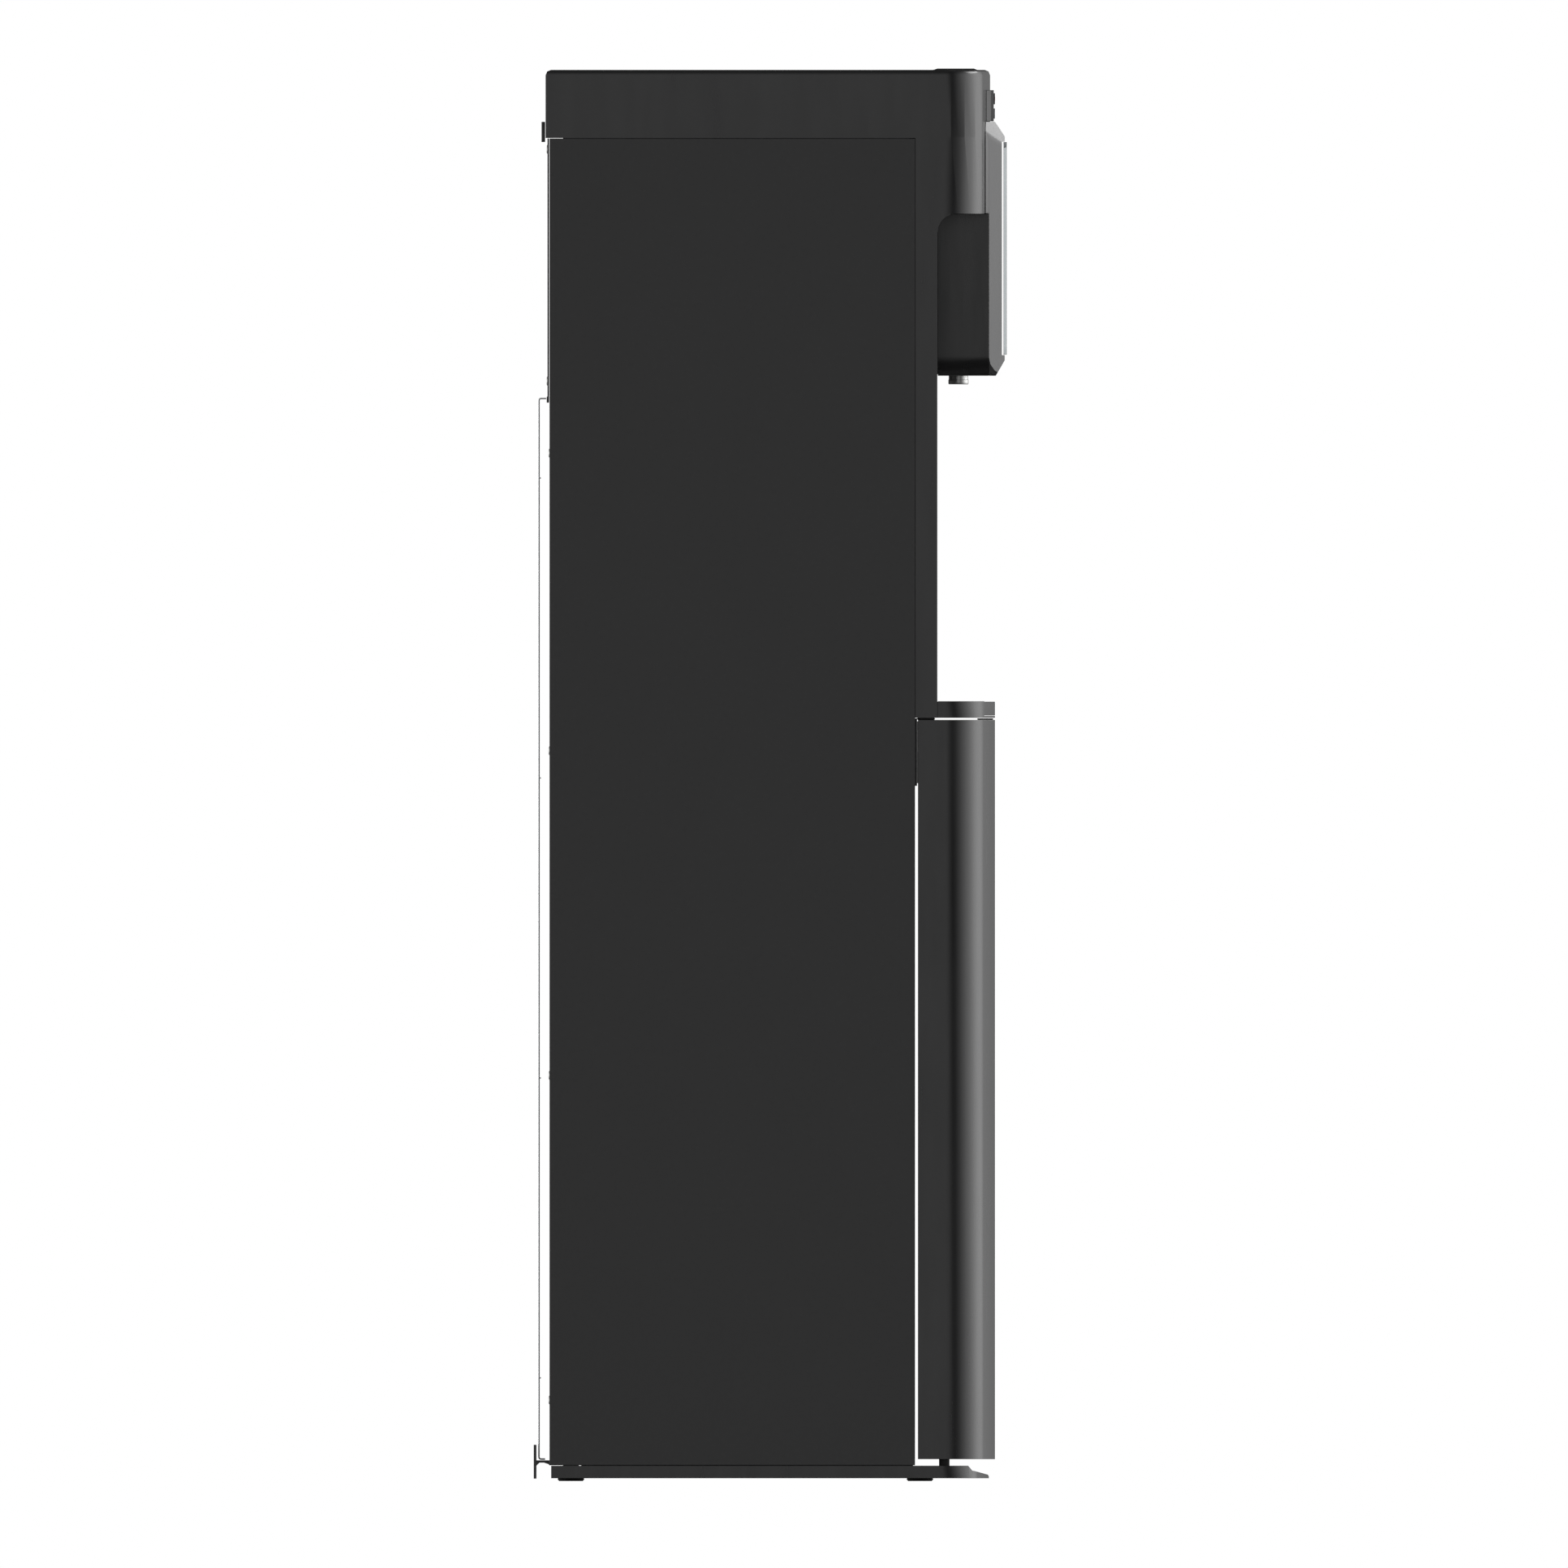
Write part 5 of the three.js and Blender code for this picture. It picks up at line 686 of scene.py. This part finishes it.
def door_bumper():
    """Low rubber strip along the top of the door that closes its gap at the front."""
    low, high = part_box("door_shell")
    ledge_low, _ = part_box("drip_ledge")
    seat = high[2] + BUMPER_SEAT
    size = (BUMPER_LENGTH, BUMPER_DEPTH, ledge_low[2] - seat - BUMPER_CLEARANCE)
    centre = (0, low[1] + BUMPER_SETBACK + size[1] / 2, seat + size[2] / 2)
    bm = bmesh.new()
    bmesh.ops.create_cube(bm, size=1, matrix=Matrix.Translation(centre) @ Matrix.Diagonal((*size, 1)))
    bmesh.ops.bevel(bm, geom=list(bm.edges), offset=BUMPER_EDGE, segments=2, affect="EDGES")
    place("door_bumper", to_mesh("door_bumper", bm), "rubber_black", "door")


def rail_shade_cords():
    """Fine dark cords under and over the rail's lip, above the door; painted shade, dark lines standing
    in for the shadow at the lip.
    """
    low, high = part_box("cross_rail")
    x = high[0] - LIP_CORD_INSET
    bm = bmesh.new()
    for z in (high[2] - LIP_CORD_DROP, high[2] + LIP_CORD_RISE):
        ends = [(x, low[1] + LIP_CORD_START, z), (x, low[1] + LIP_CORD_END, z)]
        sweep(bm, ends, LIP_CORD_RADIUS)
    place("rail_shade_cords", to_mesh("rail_shade_cords", bm), "rubber_black", "cabinet")


def slip(name, side, edge, front, depth, bottom, tops, material):
    """Three-cornered upright slip beside an edge; its outer face slopes back at 45 degrees."""
    corners = [(edge, front), (edge + side * depth, front + depth), (edge, front + depth)]
    bm = bmesh.new()
    lower = [bm.verts.new((x, y, bottom)) for x, y in corners]
    upper = [bm.verts.new((x, y, z)) for (x, y), z in zip(corners, tops)]
    bm.faces.new(lower)
    bm.faces.new(upper)
    for i in range(3):
        j = (i + 1) % 3
        bm.faces.new([lower[i], lower[j], upper[j], upper[i]])
    bmesh.ops.bevel(bm, geom=list(bm.edges), offset=SLIP_EDGE, segments=2, affect="EDGES")
    place(name, to_mesh(name, bm), material, "cabinet")


def shield_trims():
    """Slips that carry the shield's sloping sides on to the fascia, cut to the shoulder's slope."""
    _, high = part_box("head_shield")
    spout_low, spout_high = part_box("spout_housing")
    tops = [high[2] - SHOULDER_DROP + rise for rise in SHOULDER_RISES]
    for name, side in (("shield_trim_left", -1), ("shield_trim_right", 1)):
        slip(name, side, side * high[0], spout_low[1] - SHIELD_TRIM_REACH, SHIELD_TRIM_DEPTH,
             spout_high[2] + SHIELD_TRIM_START, tops, "shield_plastic")


def bezel_trims():
    """Slips that run the fascia up to the sides of the button bezel."""
    low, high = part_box("button_bezel")
    tops = [high[2] - BEZEL_TRIM_MARGIN] * 3
    for name, side in (("bezel_trim_left", -1), ("bezel_trim_right", 1)):
        slip(name, side, side * (high[0] + BEZEL_TRIM_GAP), low[1] + BEZEL_TRIM_SETBACK,
             BEZEL_TRIM_DEPTH, low[2] + BEZEL_TRIM_MARGIN, tops, "charcoal_plastic")


# ---------- service fittings ----------

def drain_cap():
    """Knurled screw cap with a raised rim on its face."""
    low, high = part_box("drain_cap")
    outer = (high[0] - low[0]) / 2
    inner = outer - CAP_WALL
    height = high[1] - low[1]
    profile = [
        (inner, 0), (outer - 0.5 * MM, 0), (outer, 0.6 * MM), (outer, height - 2.4 * MM),
        (outer - 0.7 * MM, height - 1.4 * MM), (outer - 1.8 * MM, height), (outer - 3.2 * MM, height),
        (outer - 3.8 * MM, height - CAP_FACE), (0, height - CAP_FACE), (0, height - CAP_FACE_BACK),
        (inner, height - CAP_FACE_BACK),
    ]
    bm = bmesh.new()
    turn_profile(bm, profile, facing("drain_cap", low[1], -1), CAP_STEPS, CAP_FLUTE)
    place("drain_cap_knurled", to_mesh("drain_cap", bm), "rubber_black", "drain_cap",
          replaced=("drain_cap",))


def power_gland():
    """Round cable gland: thread, fluted nut and a domed nose round its bore."""
    low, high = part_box("power_inlet")
    nut = (high[0] - low[0]) / 2
    thread = nut - GLAND_NUT_OVER_THREAD
    length = high[1] - low[1]
    profile = [(GLAND_BORE, 0), (thread, 0)]
    for i in range(GLAND_THREADS):
        y = GLAND_FIRST_THREAD + i * GLAND_THREAD_PITCH
        profile += [(thread, y), (thread - GLAND_THREAD_DEPTH, y + GLAND_THREAD_PITCH / 2)]
    profile += [
        (thread, GLAND_NUT_START), (nut, GLAND_NUT_START), (nut, GLAND_NUT_END),
        (thread + 0.6 * MM, GLAND_NUT_END + 0.4 * MM),
        (thread - 0.2 * MM, 15 * MM), (thread - 1.4 * MM, length - 1.6 * MM),
        (thread - 3 * MM, length), (GLAND_BORE, length),
    ]
    bm = bmesh.new()
    turn_profile(bm, profile, facing("power_inlet", low[1], -1), flute=GLAND_FLUTE)
    place("power_gland", to_mesh("power_inlet", bm), "black_plastic", "cabinet",
          replaced=("power_inlet",))


# ---------- screws ----------

def screw_head(bm, x, y, z):
    """Low pan head, facing the rear, with a round recess."""
    radius = SCREW_HEAD / 2
    recess = SCREW_HEAD_HEIGHT * 0.55
    profile = [
        (0, recess), (SCREW_SLOT, recess), (SCREW_SLOT * 1.1, SCREW_HEAD_HEIGHT),
        (radius * 0.55, SCREW_HEAD_HEIGHT * 0.95), (radius * 0.85, SCREW_HEAD_HEIGHT * 0.7),
        (radius, SCREW_HEAD_HEIGHT * 0.3), (radius, -SCREW_SINK), (0, -SCREW_SINK),
    ]
    face = Matrix.Translation((x, y, z)) @ Matrix.Rotation(-math.pi / 2, 4, "X")
    turn_profile(bm, profile, face, 24)


def rear_screws():
    """Screws of the upper back sheet, and those down the folded edges of the side sheets."""
    low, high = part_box("back_panel_upper")
    _, side_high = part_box("side_panel_left")
    side_x = abs(side_high[0] - SIDE_SCREW_SHIFT)
    bm = bmesh.new()
    for x in (low[0] + BACK_SCREW_INSET, 0, high[0] - BACK_SCREW_INSET):
        for z in (low[2] + 2 * BACK_SCREW_INSET, high[2] - BACK_SCREW_INSET):
            screw_head(bm, x, low[1] + BACK_SHEET, z)
    for z in SIDE_SCREW_HEIGHTS:
        for side in (-1, 1):
            screw_head(bm, side * side_x, side_high[1], z)
    place("rear_screws", to_mesh("rear_screws", bm), "stainless", "cabinet")


# ---------- button faces ----------

def button_inlay(node, material):
    """Small domed disc let into a button's face."""
    low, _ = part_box(node)
    profile = [
        (0, INLAY_THICKNESS), (INLAY_RADIUS * 0.6, INLAY_THICKNESS * 0.9),
        (INLAY_RADIUS * 0.92, INLAY_THICKNESS * 0.4), (INLAY_RADIUS, 0),
        (INLAY_RADIUS, -INLAY_SINK), (0, -INLAY_SINK),
    ]
    bm = bmesh.new()
    turn_profile(bm, profile, facing(node, low[1], 1), INLAY_STEPS)
    place(node + "_inlay", to_mesh(node + "_inlay", bm), material, node)


# ---------- stage, light and camera ----------

def floor():
    """Plain pale floor that shows in no reflection."""
    mesh = bpy.data.meshes.new("floor")
    bm = bmesh.new()
    bmesh.ops.create_grid(bm, x_segments=2, y_segments=2, size=FLOOR_SIZE)
    bm.to_mesh(mesh)
    bm.free()
    piece = bpy.data.objects.new("floor", mesh)
    bpy.context.scene.collection.objects.link(piece)
    piece.visible_glossy = False
    s = Shader("studio_floor")
    s.link(s.colours(s.noise(3.0), [(0.3, (0.74,) * 3), (0.7, (0.78,) * 3)]), "Base Color")
    s.set(Roughness=0.6)
    mesh.materials.append(s.material)


def studio_world():
    """White behind the object for the camera, and soft graded light on it from all round."""
    world = bpy.data.worlds.new("studio")
    bpy.context.scene.world = world
    world.use_nodes = True
    tree = world.node_tree
    tree.nodes.clear()
    new, link = tree.nodes.new, tree.links.new

    def maths(operation, *values):
        node = new("ShaderNodeMath")
        node.operation = operation
        for socket, value in zip(node.inputs, values):
            if isinstance(value, (int, float)):
                socket.default_value = value
            else:
                link(value, socket)
        return node.outputs[0]

    def ramp(source, stops):
        node = new("ShaderNodeValToRGB")
        fill_ramp(node, [(position, (level,) * 3) for position, level in stops])
        link(source, node.inputs["Fac"])
        return node.outputs["Color"]

    split = new("ShaderNodeSeparateXYZ")
    link(new("ShaderNodeTexCoord").outputs["Generated"], split.inputs[0])
    towards_left = maths("MULTIPLY", split.outputs["X"], -1)
    towards_front = maths("ABSOLUTE", split.outputs["Y"])
    turn = maths("DIVIDE", maths("ARCTAN2", towards_front, towards_left), math.pi)
    brightest = max(level for _, level in STUDIO)
    horizon = ramp(turn, [(angle / 180, level / brightest) for angle, level in STUDIO])
    fall = ramp(maths("MULTIPLY_ADD", split.outputs["Z"], 0.5, 0.5),
                [(sine / 2 + 0.5, level) for sine, level in FALL])
    graded = new("ShaderNodeMix")
    graded.data_type = "RGBA"
    graded.blend_type = "MULTIPLY"
    graded.inputs["Factor"].default_value = 1.0
    link(horizon, graded.inputs["A"])
    link(fall, graded.inputs["B"])
    surround = new("ShaderNodeBackground")
    surround.inputs["Strength"].default_value = brightest
    link(graded.outputs["Result"], surround.inputs["Color"])
    backdrop = new("ShaderNodeBackground")
    backdrop.inputs["Color"].default_value = (1, 1, 1, 1)
    path = new("ShaderNodeLightPath")
    choose = new("ShaderNodeMixShader")
    link(maths("MAXIMUM", path.outputs["Is Camera Ray"], path.outputs["Is Transmission Ray"]),
         choose.inputs[0])
    link(surround.outputs[0], choose.inputs[1])
    link(backdrop.outputs[0], choose.inputs[2])
    link(choose.outputs[0], new("ShaderNodeOutputWorld").inputs["Surface"])


def softbox():
    """Broad soft light in front and above, turned towards the machine's upper half."""
    light = bpy.data.lights.new("front_softbox", "AREA")
    light.shape = "RECTANGLE"
    light.size, light.size_y = SOFTBOX_SIZE
    light.energy = SOFTBOX_WATTS
    lamp = bpy.data.objects.new("front_softbox", light)
    lamp.location = SOFTBOX_PLACE
    aim = Vector(SOFTBOX_TARGET) - Vector(SOFTBOX_PLACE)
    lamp.rotation_euler = aim.to_track_quat("-Z", "Y").to_euler()
    bpy.context.scene.collection.objects.link(lamp)


def camera():
    """Level camera square to the machine's left side, without perspective."""
    data = bpy.data.cameras.new("camera")
    data.type = "ORTHO"
    data.ortho_scale = HEIGHT * CAMERA_MARGIN
    eye = bpy.data.objects.new("camera", data)
    eye.location = (-CAMERA_DISTANCE, CAMERA_Y, CAMERA_Z)
    eye.rotation_euler = (math.radians(90), 0, math.radians(-90))
    bpy.context.scene.collection.objects.link(eye)
    bpy.context.scene.camera = eye


# ---------- the scene ----------

camera()
floor()
studio_world()
softbox()
dress_cad_nodes()
for spout_node in ("nozzle_hot", "nozzle_room", "nozzle_cold"):
    spout(spout_node)
for foot_node in ("foot_front_left", "foot_front_right", "foot_rear_left", "foot_rear_right"):
    foot(foot_node)
condenser()
rear_guard()
rear_screws()
# Painted shade: dark cords in the joints of the head, door and rail stand in for the shadow lines of the
# gaps.
head_shade_cords()
door_shade_cord()
rail_shade_cords()
door_bumper()
shield_trims()
bezel_trims()
drain_cap()
power_gland()
for button_node, inlay in (("button_hot", "red_rocker"), ("button_room", "light_trim"),
                           ("button_cold", "blue_rocker"), ("button_lock", "light_trim")):
    button_inlay(button_node, inlay)

bpy.context.scene.view_settings.view_transform = "Standard"
bpy.context.scene.view_settings.look = "None"
